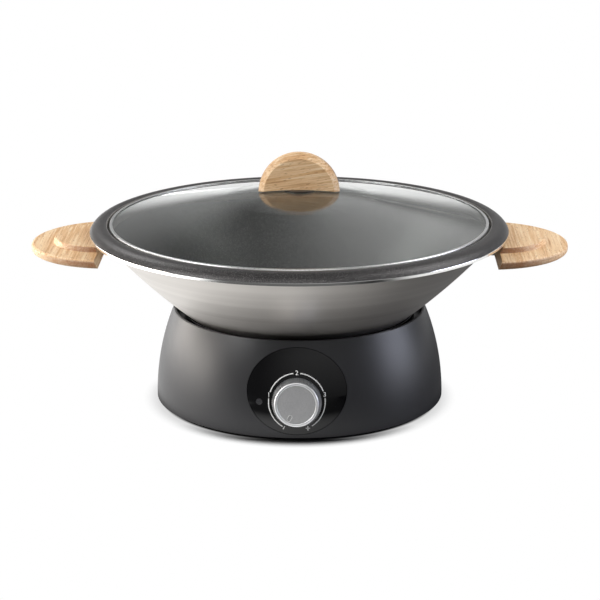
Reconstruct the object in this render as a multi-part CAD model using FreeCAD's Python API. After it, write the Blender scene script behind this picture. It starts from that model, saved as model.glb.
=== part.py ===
"""Electric wok: a heated base, a lift-off cast wok with two wooden handles, and a glass lid.

Millimetres, +Z up. The origin is the middle of the circle of feet, on the table.
The control knob faces -Y and the two wok handles lie along X.
Profiles are drawn in the XZ plane as (radius, height) pairs and spun about Z.
"""
import FreeCAD, Part
import math
import os

# ------------------------------------------------------------------ driving dimensions
# clearances and fits
rest_gap = 0.3              # between loose pieces that rest on each other
seat_gap = 0.05             # between pieces that are clamped or glued together
running_gap = 0.05          # radial, shaft in its bushing
screw_gap = 0.1             # radial, screw shank in its hole
groove_gap = 0.45           # shadow line round the control panel
overcut = 1.0               # how far a cutting tool runs past the face that it opens
bite = 0.5                  # how far two forms of one solid reach into each other

# feet and base plate
foot_height = 4.0
foot_r = 8.5
foot_taper = 0.6
foot_round = 1.0
foot_circle_r = 96.0
foot_count = 4
foot_first_angle = 45.0
foot_stem_r = 3.0
foot_barb_r = 3.9
foot_barb_height = 1.6
plate_recess = 1.0
plate_thickness = 2.6
vent_count = 20
vent_inner_r = 56.0
vent_length = 20.0
vent_width = 3.2

# moulded housing, upright at its lower edge and leaning in towards the lip
housing_foot_r = 125.0
housing_lip_r = 109.0
housing_height = 79.0
housing_wall = 2.6
ledge_drop = 11.0           # lip down to the ledge that carries the reflector and ring
ledge_width = 11.0          # lip's outer skin in to the ledge's inner edge
ledge_thickness = 2.6
gusset_count = 8
gusset_thickness = 2.2
gusset_drop = 18.0
boss_r = 4.6
boss_height = 20.0
boss_inset = 8.4            # wall's inner skin at the boss's top in to the screw
boss_first_angle = 22.5

# screws that hold the base plate
plate_screw_r = 1.5
plate_screw_head_r = 3.2
plate_screw_head = 1.5
plate_screw_length = 14.0
plate_screw_count = 4

# oval control panel, laid on the curve of the housing
panel_centre_height = 43.1
panel_width = 82.0
panel_height = 72.0
panel_thickness = 2.0
panel_proud = 0.2
panel_backing = 1.6
panel_rim = 4.0
knob_drop = 9.0             # knob axis below the panel's centre
lens_offset = 31.0          # lamp lens left of the knob axis
lens_r = 2.6
lens_proud = 0.25
lens_collar_r = 3.4
lens_collar = 1.2
lamp_tube_r = 5.4
lamp_r = 3.3
lamp_length = 13.0
lamp_wire_r = 0.6
lamp_wire_length = 4.3
lamp_wire_spacing = 3.2

# knob and thermostat, along the axis that stands square to the panel
knob_skirt_r = 20.7
knob_front_r = 18.4
knob_lift = 0.8
knob_depth = 14.0
knob_wall = 2.2
knob_web = 2.4
knob_rib_count = 72
knob_rib_depth = 0.3
knob_hub_r = 6.4
trim_ring_width = 2.2
trim_ring_stand = 1.6
trim_ring_round = 0.6
knob_face_inset = 0.5
pointer_width = 2.7
pointer_length = 5.1
pointer_reach = 12.4
pointer_depth = 0.6
off_angle = 27.0            # off mark, clockwise from straight down
shaft_r = 3.0
shaft_flat = 0.8
shaft_reach = 10.0
shaft_tail_depth = 12.0     # how deep the shaft's bore goes into the thermostat
bushing_r = 4.9
bushing_stand = 3.0
nut_across_flats = 14.0
nut_thickness = 2.4
thermostat_width = 34.0
thermostat_height = 30.0
thermostat_depth = 20.0
thermostat_seat_r = 16.0
thermostat_corner_r = 3.0
tab_width = 6.3
tab_thickness = 0.8
tab_length = 8.0

# heat reflector and the ring that carries the wok
reflector_sheet = 0.8
reflector_drop = 14.1       # element's centre line down to the reflector's underside
reflector_side_run = 20.0   # ledge's inner edge in to the foot of the sloping side
reflector_corner_r = 5.0
ring_sheet = 1.0
ring_bead_r = 1.0
ring_seat_lead = 2.5        # degrees of slope from the bead's touch up to the lip's level
ring_screw_count = 3
ring_screw_first_angle = 90.0
ring_screw_r = 1.5
ring_screw_head_r = 2.6
ring_screw_head = 1.7
ring_screw_head_round = 0.6
ring_boss_r = 3.6
ring_boss_height = 12.0

# tubular heating element: an outer turn, a hairpin and an inner turn
tube_r = 3.3
element_gap = 1.1           # top of the tube up to the wok's bottom
turn_margin = 10.0          # foot of the reflector's side in to the outer turn
turn_spacing = 20.0
outer_end_angle = 72.0
inner_end_angle = 60.0
hairpin_angle = 112.0
leg_bend_r = 9.0
leg_reach = 9.5             # reflector's underside down to the end of a leg
support_count = 3
support_first_angle = 30.0
support_sheet = 1.2
support_foot_width = 8.0
support_overhang = 3.0
bushing_body_r = 5.0
bushing_flange_r = 7.0
bushing_flange = 1.8
bushing_depth = 5.0
terminal_pin_r = 1.4
terminal_pin_length = 4.0

# over-temperature fuse under the reflector
fuse_r = 2.2
fuse_length = 12.0
fuse_x = -34.0
fuse_y = -18.0
fuse_lead_r = 0.5
fuse_lead = 6.0
fuse_clip_sheet = 0.8
fuse_clip_width = 6.0
fuse_clip_ear = 6.0

# terminal block on the base plate
block_length = 36.0
block_width = 18.0
block_height = 13.0
block_x = -36.0
block_y = 72.0
block_ways = 3
block_wire_r = 2.4
block_wire_height = 4.4
block_web = 7.2             # solid middle between the two rows of wire holes
block_screw_r = 2.6
block_screw_offset = 5.4
block_groove = 2.0
block_groove_depth = 3.2
block_stud_r = 1.5
block_stud_head_r = 2.8
block_stud_head = 1.9

# cord gland at the back
gland_z = 23.0
gland_flange_r = 10.0
gland_flange = 3.0
gland_flange_round = 1.0
gland_body_r = 6.0
gland_bore_r = 3.6
gland_length = 20.0
gland_pad_r = 13.0
gland_pad = 4.0
gland_nut_across_flats = 18.0
gland_nut_thickness = 4.0

# cast wok: slopes are measured from level, radii are those of the outer skin
lip_gap = 4.5               # wok's knee, drawn on to the lip's level, to the housing's inner skin
wok_flat_r = 35.0
wok_seat_slope = 41.0       # where the knee would come level with the housing's lip
wok_knee_lead = 2.0         # degrees of slope from the end of the knee up to that level
wok_depth = 99.6            # underside of the bottom up to the flange's inner edge
wok_wall = 3.2
rim_r = 180.0
rim_edge = 2.2
rim_edge_drop = 6.0         # flange's inner edge down to the top of its outer edge
rim_edge_round = 0.8
rim_crown = 3.0
rim_underside_fall = 1.6
rim_fillet = 4.0
flange_width = 14.8         # rim in to the step that the lid drops into
flange_overhang = 11.4      # rim in to the root of the flange
lid_seat_drop = 5.4
lid_seat_width = 3.8

# wooden wok handles, half moons with a raised half moon on top
handle_centre_inset = 20.2  # rim in to the middle of the half moon
handle_r = 71.5
handle_drop = 24.6          # flange's inner edge down to the handle's underside
handle_thickness = 7.0
handle_edge_round = 2.4
handle_inner_inset = 13.1   # rim in to the inner end, at the underside
handle_inner_rake = 24.0    # lean of the inner end, degrees from upright
step_centre_inset = 10.5
step_r = 41.5
step_height = 4.6
step_flare = 1.4
step_edge_round = 0.9
lug_width = 46.0
lug_thickness = 4.6
lug_reach = 19.0            # rim out to the lug's end
lug_corner_r = 12.0
handle_screw_r = 2.1
handle_screw_head_r = 4.2
handle_screw_length = 11.0
handle_screw_spacing = 24.0
handle_screw_reach = 10.0   # rim out to the screws

# glass lid with a steel rim band
lid_gap = 2.2               # radial, rim band to the wok's flange
lid_band_sheet = 0.6
lid_band_width = 2.6
lid_band_stand = 0.7        # top of the band above the flange's inner edge
lid_band_round = 0.7
glass_thickness = 3.8
glass_cap_r = 300.0
glass_flank_slope = 12.0
glass_edge_play = 0.7
glass_hole_r = 3.2

# wooden lid knob, a half disc that stands across the front view
lid_knob_r = 34.8
lid_knob_chord = 2.4        # disc centre below the glass's crown
lid_knob_thickness = 13.0
lid_knob_bevel = 4.6
lid_knob_bevel_depth = 3.4
lid_pad_thickness = 1.0
lid_pad_r = 13.0
insert_r = 4.0
insert_length = 14.0
insert_sink = 0.5
lid_screw_r = 2.4
lid_screw_head_r = 5.0
lid_screw_head = 2.4
lid_screw_head_round = 1.2
lid_screw_grip = 11.0       # length of screw inside the insert
lid_washer_r = 9.0
lid_washer_thickness = 1.0

# ------------------------------------------------------------------ worked out from them
ORIGIN = FreeCAD.Vector(0, 0, 0)
X_AXIS = FreeCAD.Vector(1, 0, 0)
Y_AXIS = FreeCAD.Vector(0, 1, 0)
Z_AXIS = FreeCAD.Vector(0, 0, 1)
FULL_TURN = 360.0
through = 75.0              # longer than any wall, for cutting tools

housing_bottom_z = foot_height
lip_z = housing_bottom_z + housing_height
housing_lean = housing_foot_r - housing_lip_r
side_arc_r = (housing_height**2 + housing_lean**2) / (2 * housing_lean)
side_arc_centre_r = housing_foot_r - side_arc_r
ledge_z = lip_z - ledge_drop
ledge_inner_r = housing_lip_r - ledge_width
plate_z = housing_bottom_z + plate_recess
plate_top_z = plate_z + plate_thickness


def wall_r(z, inset=0.0):
    """Radius of the housing at height z, inset from its outer skin."""
    rise = z - housing_bottom_z
    return side_arc_centre_r + math.sqrt((side_arc_r - inset)**2 - rise**2)


boss_circle_r = wall_r(plate_top_z + boss_height, housing_wall) - boss_inset
panel_tilt = math.degrees(math.asin((panel_centre_height - housing_bottom_z) / side_arc_r))
panel_frame = FreeCAD.Placement(
    FreeCAD.Vector(0, -wall_r(panel_centre_height), panel_centre_height),
    FreeCAD.Rotation(X_AXIS, 90 - panel_tilt))
panel_pocket = panel_thickness - panel_proud + seat_gap
thermostat_corner_fall = ((thermostat_width / 2)**2 / (2 * wall_r(panel_centre_height))
                          + (knob_drop + thermostat_height / 2)**2 / (2 * side_arc_r))
thermostat_seat = housing_wall + panel_backing + thermostat_corner_fall + rest_gap
nut_corner_r = nut_across_flats / math.sqrt(3)
panel_spot_r = nut_corner_r + rest_gap
knob_axis = FreeCAD.Vector(0, -knob_drop, 0)
lens_axis = FreeCAD.Vector(-lens_offset, -knob_drop, 0)

reflector_rim_z = ledge_z + reflector_sheet
ring_top_z = reflector_rim_z + ring_sheet
wok_lip_r = housing_lip_r - housing_wall - lip_gap
wok_knee_r = (wok_lip_r - wok_flat_r) / math.sin(math.radians(wok_seat_slope))
wok_knee_slope = wok_seat_slope - wok_knee_lead
ring_seat_slope = wok_seat_slope - ring_seat_lead
wok_bottom_z = lip_z - wok_knee_r * (1 - math.cos(math.radians(wok_seat_slope)))
wok_knee_centre = (wok_flat_r, wok_bottom_z + wok_knee_r)
tube_centre_z = wok_bottom_z - element_gap - tube_r
reflector_floor_z = tube_centre_z - reflector_drop
reflector_floor_r = ledge_inner_r - reflector_side_run
outer_turn_r = reflector_floor_r - turn_margin
inner_turn_r = outer_turn_r - turn_spacing
leg_end_z = reflector_floor_z - leg_reach
flange_inner_z = wok_bottom_z + wok_depth
lid_seat_r = rim_r - flange_width
rim_edge_top_z = flange_inner_z - rim_edge_drop
rim_edge_bottom_z = rim_edge_top_z - rim_edge
flange_root_r = rim_r - flange_overhang
flange_root_z = rim_edge_bottom_z - rim_underside_fall
lid_seat_z = flange_inner_z - lid_seat_drop
lid_band_r = lid_seat_r - lid_gap
lid_band_top_z = flange_inner_z + lid_band_stand
lid_band_bottom_z = lid_seat_z + rest_gap
handle_bottom_z = flange_inner_z - handle_drop
handle_top_z = handle_bottom_z + handle_thickness
step_top_z = handle_top_z + step_height
lug_bottom_z = handle_bottom_z
lug_end_x = rim_r + lug_reach
handle_centre_x = rim_r - handle_centre_inset
handle_inner_x = rim_r - handle_inner_inset
step_centre_x = rim_r - step_centre_inset
handle_screw_x = rim_r + handle_screw_reach


# ------------------------------------------------------------------ drawing helpers
def at(r, z):
    return FreeCAD.Vector(r, 0, z)


def wheel(radius, angle, z=0.0):
    """Point at a radius and an angle in degrees, seen from above."""
    turn = math.radians(angle)
    return FreeCAD.Vector(radius * math.cos(turn), radius * math.sin(turn), z)


def outline(start, *steps):
    """Closed face: a step is an end point, or an arc given as a pair (point on it, end point)."""
    edges = []
    here = start
    for step in steps:
        if isinstance(step[0], tuple):
            via, there = step
            edges.append(Part.Arc(at(*here), at(*via), at(*there)).toShape())
        else:
            there = step
            edges.append(Part.makeLine(at(*here), at(*there)))
        here = there
    if math.dist(here, start) > 1e-6:
        edges.append(Part.makeLine(at(*here), at(*start)))
    return Part.Face(Part.Wire(edges))


def rounded(corners):
    """Closed face from (r, z) corners; a third value rounds that corner."""
    steps = []
    for index, corner in enumerate(corners):
        point = corner[:2]
        radius = corner[2] if len(corner) > 2 else 0.0
        if radius == 0.0:
            steps.append(point)
            continue
        arms = []
        for other in (corners[index - 1], corners[(index + 1) % len(corners)]):
            reach = math.dist(point, other[:2])
            arms.append(((other[0] - point[0]) / reach, (other[1] - point[1]) / reach))
        half = math.acos(arms[0][0] * arms[1][0] + arms[0][1] * arms[1][1]) / 2
        setback = radius / math.tan(half)
        first, last = [(point[0] + a * setback, point[1] + b * setback) for a, b in arms]
        middle = (arms[0][0] + arms[1][0], arms[0][1] + arms[1][1])
        length = math.hypot(*middle)
        depth = radius / math.sin(half) - radius
        via = (point[0] + middle[0] / length * depth, point[1] + middle[1] / length * depth)
        steps.append(first)
        steps.append((via, last))
    return outline(steps[0], *steps[1:])


def spin(face, turn=FULL_TURN):
    return face.revolve(ORIGIN, Z_AXIS, turn)


def disc(radius, low, high, centre=ORIGIN):
    """Upright cylinder between two heights, about the vertical through centre."""
    return Part.makeCylinder(radius, high - low, centre + FreeCAD.Vector(0, 0, low), Z_AXIS)


def ring(outer, inner, low, high, centre=ORIGIN):
    return disc(outer, low, high, centre).cut(disc(inner, low - overcut, high + overcut, centre))


def block(low, high):
    size = [b - a for a, b in zip(low, high)]
    return Part.makeBox(*size, FreeCAD.Vector(*low))


def hexagon(across_flats, low, high, bore, centre=ORIGIN):
    """Hexagon nut about the vertical through centre."""
    corner_r = across_flats / math.sqrt(3)
    points = [centre + wheel(corner_r, 60 * k, low) for k in range(7)]
    nut = Part.Face(Part.makePolygon(points)).extrude(FreeCAD.Vector(0, 0, high - low))
    return nut.cut(disc(bore, low - overcut, high + overcut, centre))


def oval(grow, low, high):
    """Upright oval prism in the panel's own frame, larger than the panel by grow all round."""
    ellipse = Part.Ellipse(FreeCAD.Vector(0, 0, low), panel_width / 2 + grow, panel_height / 2 + grow)
    face = Part.Face(Part.Wire([ellipse.toShape()]))
    return face.extrude(FreeCAD.Vector(0, 0, high - low))


def to_front(shape):
    """Moves a shape drawn in the panel's own frame to the front of the housing."""
    moved = shape.copy()
    moved.Placement = panel_frame.multiply(moved.Placement)
    return moved


def repeated(shape, count, first_angle=0.0):
    """Copies of a shape about Z."""
    copies = []
    for k in range(count):
        copy = shape.copy()
        copy.rotate(ORIGIN, Z_AXIS, first_angle + k * FULL_TURN / count)
        copies.append(copy)
    return copies


def mirrored(shape):
    return shape.mirror(ORIGIN, X_AXIS)


# ------------------------------------------------------------------ housing
def side_arc(inset, low, high):
    """Arc step up or down the housing's side, as (point on it, end point)."""
    middle = (low + high) / 2
    return ((wall_r(middle, inset), middle), (wall_r(high, inset), high))


def skin_band(outer_inset, inner_inset, low=plate_z, high=lip_z):
    """The housing's side between two insets, as a closed ring of that thickness."""
    return spin(outline((wall_r(low, outer_inset), low), side_arc(outer_inset, low, high),
                        (wall_r(high, inner_inset), high), side_arc(inner_inset, high, low)))


def housing_shell():
    """The wall with its full-round lip, drawn as two arcs about one centre."""
    lip_r = housing_wall / 2
    slope = math.asin((housing_height - lip_r) / (side_arc_r - lip_r))
    ends = []
    for inset in (0.0, housing_wall):
        reach = side_arc_r - inset
        ends.append((side_arc_centre_r + reach * math.cos(slope),
                     housing_bottom_z + reach * math.sin(slope)))
    centre_reach = side_arc_r - lip_r
    crown = (side_arc_centre_r + centre_reach * math.cos(slope) - lip_r * math.sin(slope),
             housing_bottom_z + centre_reach * math.sin(slope) + lip_r * math.cos(slope))
    outer, inner = ends
    middle = (housing_bottom_z + outer[1]) / 2
    return spin(outline((wall_r(housing_bottom_z), housing_bottom_z),
                        ((wall_r(middle), middle), outer),
                        (crown, inner),
                        side_arc(housing_wall, inner[1], housing_bottom_z)))


def housing_ledge():
    """Flat ledge round the well, with gussets down to the wall and bosses for the ring screws."""
    low = ledge_z - ledge_thickness
    root = housing_wall / 2
    ledge = spin(outline((ledge_inner_r, low), (wall_r(low, root), low),
                         (wall_r(ledge_z, root), ledge_z), (ledge_inner_r, ledge_z)))
    web_bottom = low - gusset_drop
    web = outline((ledge_inner_r, low), (wall_r(low, root), low), (wall_r(web_bottom, root), web_bottom))
    gusset = web.extrude(FreeCAD.Vector(0, gusset_thickness, 0))
    gusset.translate(FreeCAD.Vector(0, -gusset_thickness / 2, 0))
    parts = repeated(gusset, gusset_count, FULL_TURN / gusset_count / 2)
    screw_boss = disc(ring_boss_r, ledge_z - ring_boss_height, low, at(ring_screw_circle_r(), 0))
    parts += repeated(screw_boss, ring_screw_count, ring_screw_first_angle)
    return ledge.fuse(parts)


def ring_screw_circle_r():
    """Middle of the flat between the ring's upstand and the housing wall."""
    return (ring_upstand_r() + ring_sheet + ring_flange_r()) / 2


def plate_bosses():
    """Bosses that stand above the base plate, each tied to the wall by a web."""
    low = plate_top_z
    high = low + boss_height
    reach = wall_r(high, housing_wall / 2)
    post = disc(boss_r, low, high, at(boss_circle_r, 0))
    web = block((boss_circle_r, -gusset_thickness / 2, low), (reach, gusset_thickness / 2, high))
    return repeated(post.fuse(web), plate_screw_count, boss_first_angle)


def lamp_tube():
    """Tube behind the lens that holds the lamp."""
    depth = lamp_back_z()
    return Part.makeCylinder(lamp_tube_r, -depth, lens_axis + FreeCAD.Vector(0, 0, depth), Z_AXIS)


def lens_surface_z():
    """Depth of the panel's skin at the lens, in the panel's frame."""
    radius = wall_r(panel_centre_height)
    return -(radius - math.sqrt(radius**2 - lens_offset**2))


def lens_collar_z():
    """Front of the lens's collar, behind the backing of the panel."""
    return lens_surface_z() - housing_wall - panel_backing


def lamp_back_z():
    return lens_collar_z() - lens_collar - lamp_length


def make_base_housing():
    body = housing_shell().fuse([housing_ledge()] + plate_bosses())
    backing = skin_band(housing_wall / 2, housing_wall + panel_backing, plate_top_z + rest_gap)
    seat = Part.makeCylinder(thermostat_seat_r, thermostat_seat,
                             knob_axis - FreeCAD.Vector(0, 0, thermostat_seat), Z_AXIS)
    mid_wall = inside_of_housing(housing_wall / 2)
    reach = thermostat_seat + lamp_length
    front = [to_front(oval(panel_rim, -reach, panel_rim)).common(backing)]
    front.append(to_front(seat).common(mid_wall))
    front.append(to_front(lamp_tube()).common(mid_wall))
    front.append(gland_pad_shape())
    body = body.fuse(front)

    cuts = [to_front(oval(groove_gap, -reach, panel_rim)).common(skin_band(-overcut, panel_pocket))]
    cuts.append(to_front(front_hole(knob_axis, bushing_r + screw_gap)))
    cuts.append(to_front(front_hole(lens_axis, lens_r + screw_gap)))
    socket = Part.makeCylinder(lens_collar_r + screw_gap, lens_collar_z() - lamp_back_z() + overcut,
                               lens_axis + FreeCAD.Vector(0, 0, lamp_back_z() - overcut), Z_AXIS)
    cuts.append(to_front(socket))
    cuts += repeated(disc(plate_screw_r + screw_gap, 0, plate_top_z + plate_screw_length + overcut,
                          at(boss_circle_r, 0)), plate_screw_count, boss_first_angle)
    cuts += repeated(disc(ring_screw_r + screw_gap, ledge_z - ring_boss_height + ring_sheet, lip_z,
                          at(ring_screw_circle_r(), 0)), ring_screw_count, ring_screw_first_angle)
    cuts += gland_cuts()
    return body.cut(cuts)


def front_hole(axis, radius):
    return Part.makeCylinder(radius, through, axis - FreeCAD.Vector(0, 0, through / 2), Z_AXIS)


def inside_of_housing(inset):
    """Everything within the housing's skin at an inset."""
    low = housing_bottom_z
    return spin(outline((0, low), (wall_r(low, inset), low), side_arc(inset, low, lip_z), (0, lip_z)))


# ------------------------------------------------------------------ cord gland
def gland_seat_y():
    """Flat behind the gland's flange."""
    radius = wall_r(gland_z)
    return math.sqrt(radius**2 - gland_flange_r**2) - screw_gap


def rearward(radius, low_y, high_y):
    return Part.makeCylinder(radius, high_y - low_y, FreeCAD.Vector(0, low_y, gland_z), Y_AXIS)


def gland_pad_shape():
    pad = rearward(gland_pad_r, gland_seat_y() - gland_pad, gland_seat_y())
    return pad.common(inside_of_housing(screw_gap))


def gland_cuts():
    flat = rearward(gland_flange_r + screw_gap, gland_seat_y(), gland_seat_y() + through)
    hole = rearward(gland_body_r + screw_gap, gland_seat_y() - gland_pad - overcut, gland_seat_y() + overcut)
    return [flat, hole]


def make_cord_gland():
    seat = gland_seat_y()
    flange = rearward(gland_flange_r, seat, seat + gland_flange)
    outer_edges = [edge for edge in flange.Edges if on_level(edge, seat + gland_flange)]
    flange = flange.makeFillet(gland_flange_round, outer_edges)
    body = rearward(gland_body_r, seat + gland_flange - gland_length, seat + bite)
    bore = rearward(gland_bore_r, seat - gland_length, seat + gland_flange + overcut)
    return flange.fuse(body).cut(bore)


def on_level(edge, y):
    return edge.Closed and abs(edge.BoundBox.YMin - y) < 1e-6 and abs(edge.BoundBox.YMax - y) < 1e-6


def make_gland_nut():
    nut = hexagon(gland_nut_across_flats, 0, gland_nut_thickness, gland_body_r + seat_gap)
    nut.rotate(ORIGIN, X_AXIS, 90)
    nut.translate(FreeCAD.Vector(0, gland_seat_y() - gland_pad, gland_z))
    return nut


# ------------------------------------------------------------------ base plate and feet
def make_base_plate():
    radius = wall_r(plate_top_z, housing_wall) - rest_gap
    plate = disc(radius, plate_z, plate_top_z)
    vent_end = vent_inner_r + vent_length
    above = plate_top_z + overcut
    slot = block((vent_inner_r, -vent_width / 2, 0), (vent_end, vent_width / 2, above))
    for end in (vent_inner_r, vent_end):
        slot = slot.fuse(disc(vent_width / 2, 0, above, at(end, 0)))
    cuts = repeated(slot, vent_count)
    cuts += repeated(disc(foot_stem_r + screw_gap, 0, above, at(foot_circle_r, 0)),
                     foot_count, foot_first_angle)
    screw = disc(plate_screw_r + screw_gap, 0, above, at(boss_circle_r, 0))
    head = disc(plate_screw_head_r + screw_gap, 0, plate_z + plate_screw_head, at(boss_circle_r, 0))
    cuts += repeated(screw.fuse(head), plate_screw_count, boss_first_angle)
    cuts.append(disc(block_stud_r + screw_gap, 0, above, FreeCAD.Vector(block_x, block_y, 0)))
    return plate.cut(cuts)


def make_rubber_feet():
    """Soft feet: a pad, a stem through the base plate and a barb above it."""
    top = plate_top_z + foot_barb_height
    section = rounded([(0, 0), (foot_r - foot_taper, 0, foot_round), (foot_r, plate_z),
                       (foot_stem_r, plate_z), (foot_stem_r, plate_top_z), (foot_barb_r, plate_top_z),
                       (foot_stem_r - foot_taper, top), (0, top)])
    foot = spin(section)
    foot.translate(at(foot_circle_r, 0))
    return Part.makeCompound(repeated(foot, foot_count, foot_first_angle))


def make_base_plate_screws():
    x = at(boss_circle_r, 0)
    screw = disc(plate_screw_head_r, plate_z, plate_z + plate_screw_head, x)
    screw = screw.fuse(disc(plate_screw_r, plate_z, plate_top_z + plate_screw_length, x))
    return Part.makeCompound(repeated(screw, plate_screw_count, boss_first_angle))


# ------------------------------------------------------------------ control panel, lens, lamp
def make_control_panel():
    blank = to_front(oval(0, -thermostat_seat * 2, panel_rim))
    panel = blank.common(skin_band(-panel_proud, panel_thickness - panel_proud))
    spot = Part.makeCylinder(panel_spot_r, through,
                             knob_axis + FreeCAD.Vector(0, 0, panel_spot_z()), Z_AXIS)
    cuts = [spot, front_hole(knob_axis, bushing_r + screw_gap), front_hole(lens_axis, lens_r + screw_gap)]
    return panel.cut([to_front(cut) for cut in cuts])


def panel_spot_z():
    """Flat round the bushing, just under the lowest skin inside the spot's circle."""
    fall = (panel_spot_r**2 / (2 * wall_r(panel_centre_height))
            + (knob_drop + panel_spot_r)**2 / (2 * side_arc_r))
    return panel_proud - fall


def make_indicator_lens():
    """Lens that ends flush with the curve of the panel, with a collar behind the wall."""
    collar_back = lens_axis + FreeCAD.Vector(0, 0, lens_collar_z() - seat_gap - lens_collar)
    stem = Part.makeCylinder(lens_r, through, collar_back, Z_AXIS)
    collar = Part.makeCylinder(lens_collar_r, lens_collar, collar_back, Z_AXIS)
    within = inside_of_housing(-panel_proud - lens_proud)
    return to_front(stem).common(within).fuse(to_front(collar))


def make_indicator_lamp():
    front = lens_collar_z() - lens_collar - seat_gap * 2
    back = lamp_back_z()
    lamp = Part.makeCylinder(lamp_r, front - back, lens_axis + FreeCAD.Vector(0, 0, back), Z_AXIS)
    for side in (-1, 1):
        wire_end = FreeCAD.Vector(side * lamp_wire_spacing / 2, 0, back - lamp_wire_length)
        lamp = lamp.fuse(Part.makeCylinder(lamp_wire_r, lamp_wire_length, lens_axis + wire_end, Z_AXIS))
    return to_front(lamp)


# ------------------------------------------------------------------ thermostat
def make_thermostat_body():
    """Switch case behind the panel, with a bushing that comes through to the knob."""
    half_w = thermostat_width / 2
    half_h = thermostat_height / 2
    back = -thermostat_seat - thermostat_depth
    case = block((-half_w, -knob_drop - half_h, back), (half_w, -knob_drop + half_h, -thermostat_seat))
    upright = [edge for edge in case.Edges if abs(edge.tangentAt(edge.FirstParameter).z) > 0.9]
    case = case.makeFillet(thermostat_corner_r, upright)
    bushing = disc(bushing_r, -thermostat_seat - bite, bushing_top_z(), knob_axis)
    tabs = []
    for side in (-1, 1):
        x = side * thermostat_width / 4
        tabs.append(block((x - tab_thickness / 2, -knob_drop - tab_width / 2, back - tab_length),
                          (x + tab_thickness / 2, -knob_drop + tab_width / 2, back + bite)))
    bore = disc(shaft_r + running_gap, -shaft_tail(), bushing_top_z() + overcut, knob_axis)
    return to_front(case.fuse([bushing] + tabs).cut(bore))


def bushing_top_z():
    return panel_spot_z() + bushing_stand


def shaft_tail():
    """Depth that the thermostat's bore reaches behind the panel."""
    return thermostat_seat + shaft_tail_depth


def make_thermostat_nut():
    low = panel_spot_z() + seat_gap
    return to_front(hexagon(nut_across_flats, low, low + nut_thickness, bushing_r + seat_gap, knob_axis))


# ------------------------------------------------------------------ knob
def d_shaft(radius, flat, low, high):
    """Round shaft with one flat, about the knob axis."""
    shaft = disc(radius, low, high, knob_axis)
    reach = radius * 2
    away = block((radius - flat, -reach, low - overcut), (reach, reach, high + overcut))
    away.translate(knob_axis)
    return shaft.cut(away)


def make_thermostat_shaft():
    hub_end = knob_hub_bottom_z()
    round_part = disc(shaft_r, -shaft_tail() + rest_gap, hub_end, knob_axis)
    return to_front(round_part.fuse(d_shaft(shaft_r, shaft_flat, hub_end - bite, shaft_reach)))


def knob_top_z():
    return knob_lift + knob_depth - trim_ring_stand


def knob_hub_bottom_z():
    """The hub starts just above the end of the bushing."""
    return bushing_top_z() + rest_gap


def ribbed_ring(radius, z):
    """Star outline with a crest and a hollow for each rib."""
    points = []
    for k in range(2 * knob_rib_count + 1):
        reach = radius - (knob_rib_depth if k % 2 else 0.0)
        points.append(knob_axis + wheel(reach, 180.0 * k / knob_rib_count, z))
    return Part.makePolygon(points)


def make_control_knob():
    """Tapered cap with fine ribs, hollow behind, with a hub for the flatted shaft."""
    top = knob_top_z()
    cap = Part.makeLoft([ribbed_ring(knob_skirt_r, knob_lift), ribbed_ring(knob_front_r, top)], True, True)
    web_z = top - knob_web
    hollow = Part.makeCone(knob_skirt_r - knob_wall, knob_front_r - knob_wall, web_z - knob_lift + overcut,
                           knob_axis + FreeCAD.Vector(0, 0, knob_lift - overcut), Z_AXIS)
    hub = disc(knob_hub_r, knob_hub_bottom_z(), web_z + bite, knob_axis)
    bore = d_shaft(shaft_r + seat_gap, shaft_flat, knob_hub_bottom_z() - overcut, shaft_reach + seat_gap)
    return to_front(cap.cut(hollow).fuse(hub).cut(bore))


def make_knob_trim_ring():
    """Turned ring round the knob's face, with rounded edges."""
    low = knob_top_z() + seat_gap
    high = low + trim_ring_stand
    outer = knob_front_r - knob_rib_depth * 2
    inner = outer - trim_ring_width
    section = rounded([(inner, low), (outer, low), (outer, high, trim_ring_round),
                       (inner, high, trim_ring_round / 2)])
    trim = spin(section)
    trim.translate(knob_axis)
    return to_front(trim)


def make_knob_face():
    """Satin disc inside the trim ring, with a pressed slot that points at the dial."""
    low = knob_top_z() + seat_gap
    high = low + trim_ring_stand - knob_face_inset
    radius = knob_front_r - knob_rib_depth * 2 - trim_ring_width - seat_gap
    face = disc(radius, low, high, knob_axis)
    end = (pointer_length - pointer_width) / 2
    low = high - pointer_depth
    above = high + overcut
    slot = block((-pointer_width / 2, -end, low), (pointer_width / 2, end, above))
    for side in (-end, end):
        slot = slot.fuse(disc(pointer_width / 2, low, above, FreeCAD.Vector(0, side, 0)))
    slot.translate(FreeCAD.Vector(0, -pointer_reach, 0))
    slot.rotate(ORIGIN, Z_AXIS, -off_angle)
    slot.translate(knob_axis)
    return to_front(face.cut(slot))


# ------------------------------------------------------------------ wok casting
def wok_point(centre, radius, slope):
    """Point on an arc of the wok where the skin rises at that slope."""
    turn = math.radians(slope)
    return (centre[0] + radius * math.sin(turn), centre[1] - radius * math.cos(turn))


def wok_flank():
    """Arc that leaves the knee without a corner and ends at the flange's root.

    Gives its centre, its radius and half the slope that it gains on the way.
    """
    knee_end = wok_point(wok_knee_centre, wok_knee_r, wok_knee_slope)
    run = flange_root_r - knee_end[0]
    rise = flange_root_z - knee_end[1]
    half_gain = math.degrees(math.atan2(rise, run)) - wok_knee_slope
    radius = math.hypot(run, rise) / (2 * math.sin(math.radians(half_gain)))
    return wok_point(knee_end, -radius, wok_knee_slope), radius, half_gain


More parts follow.
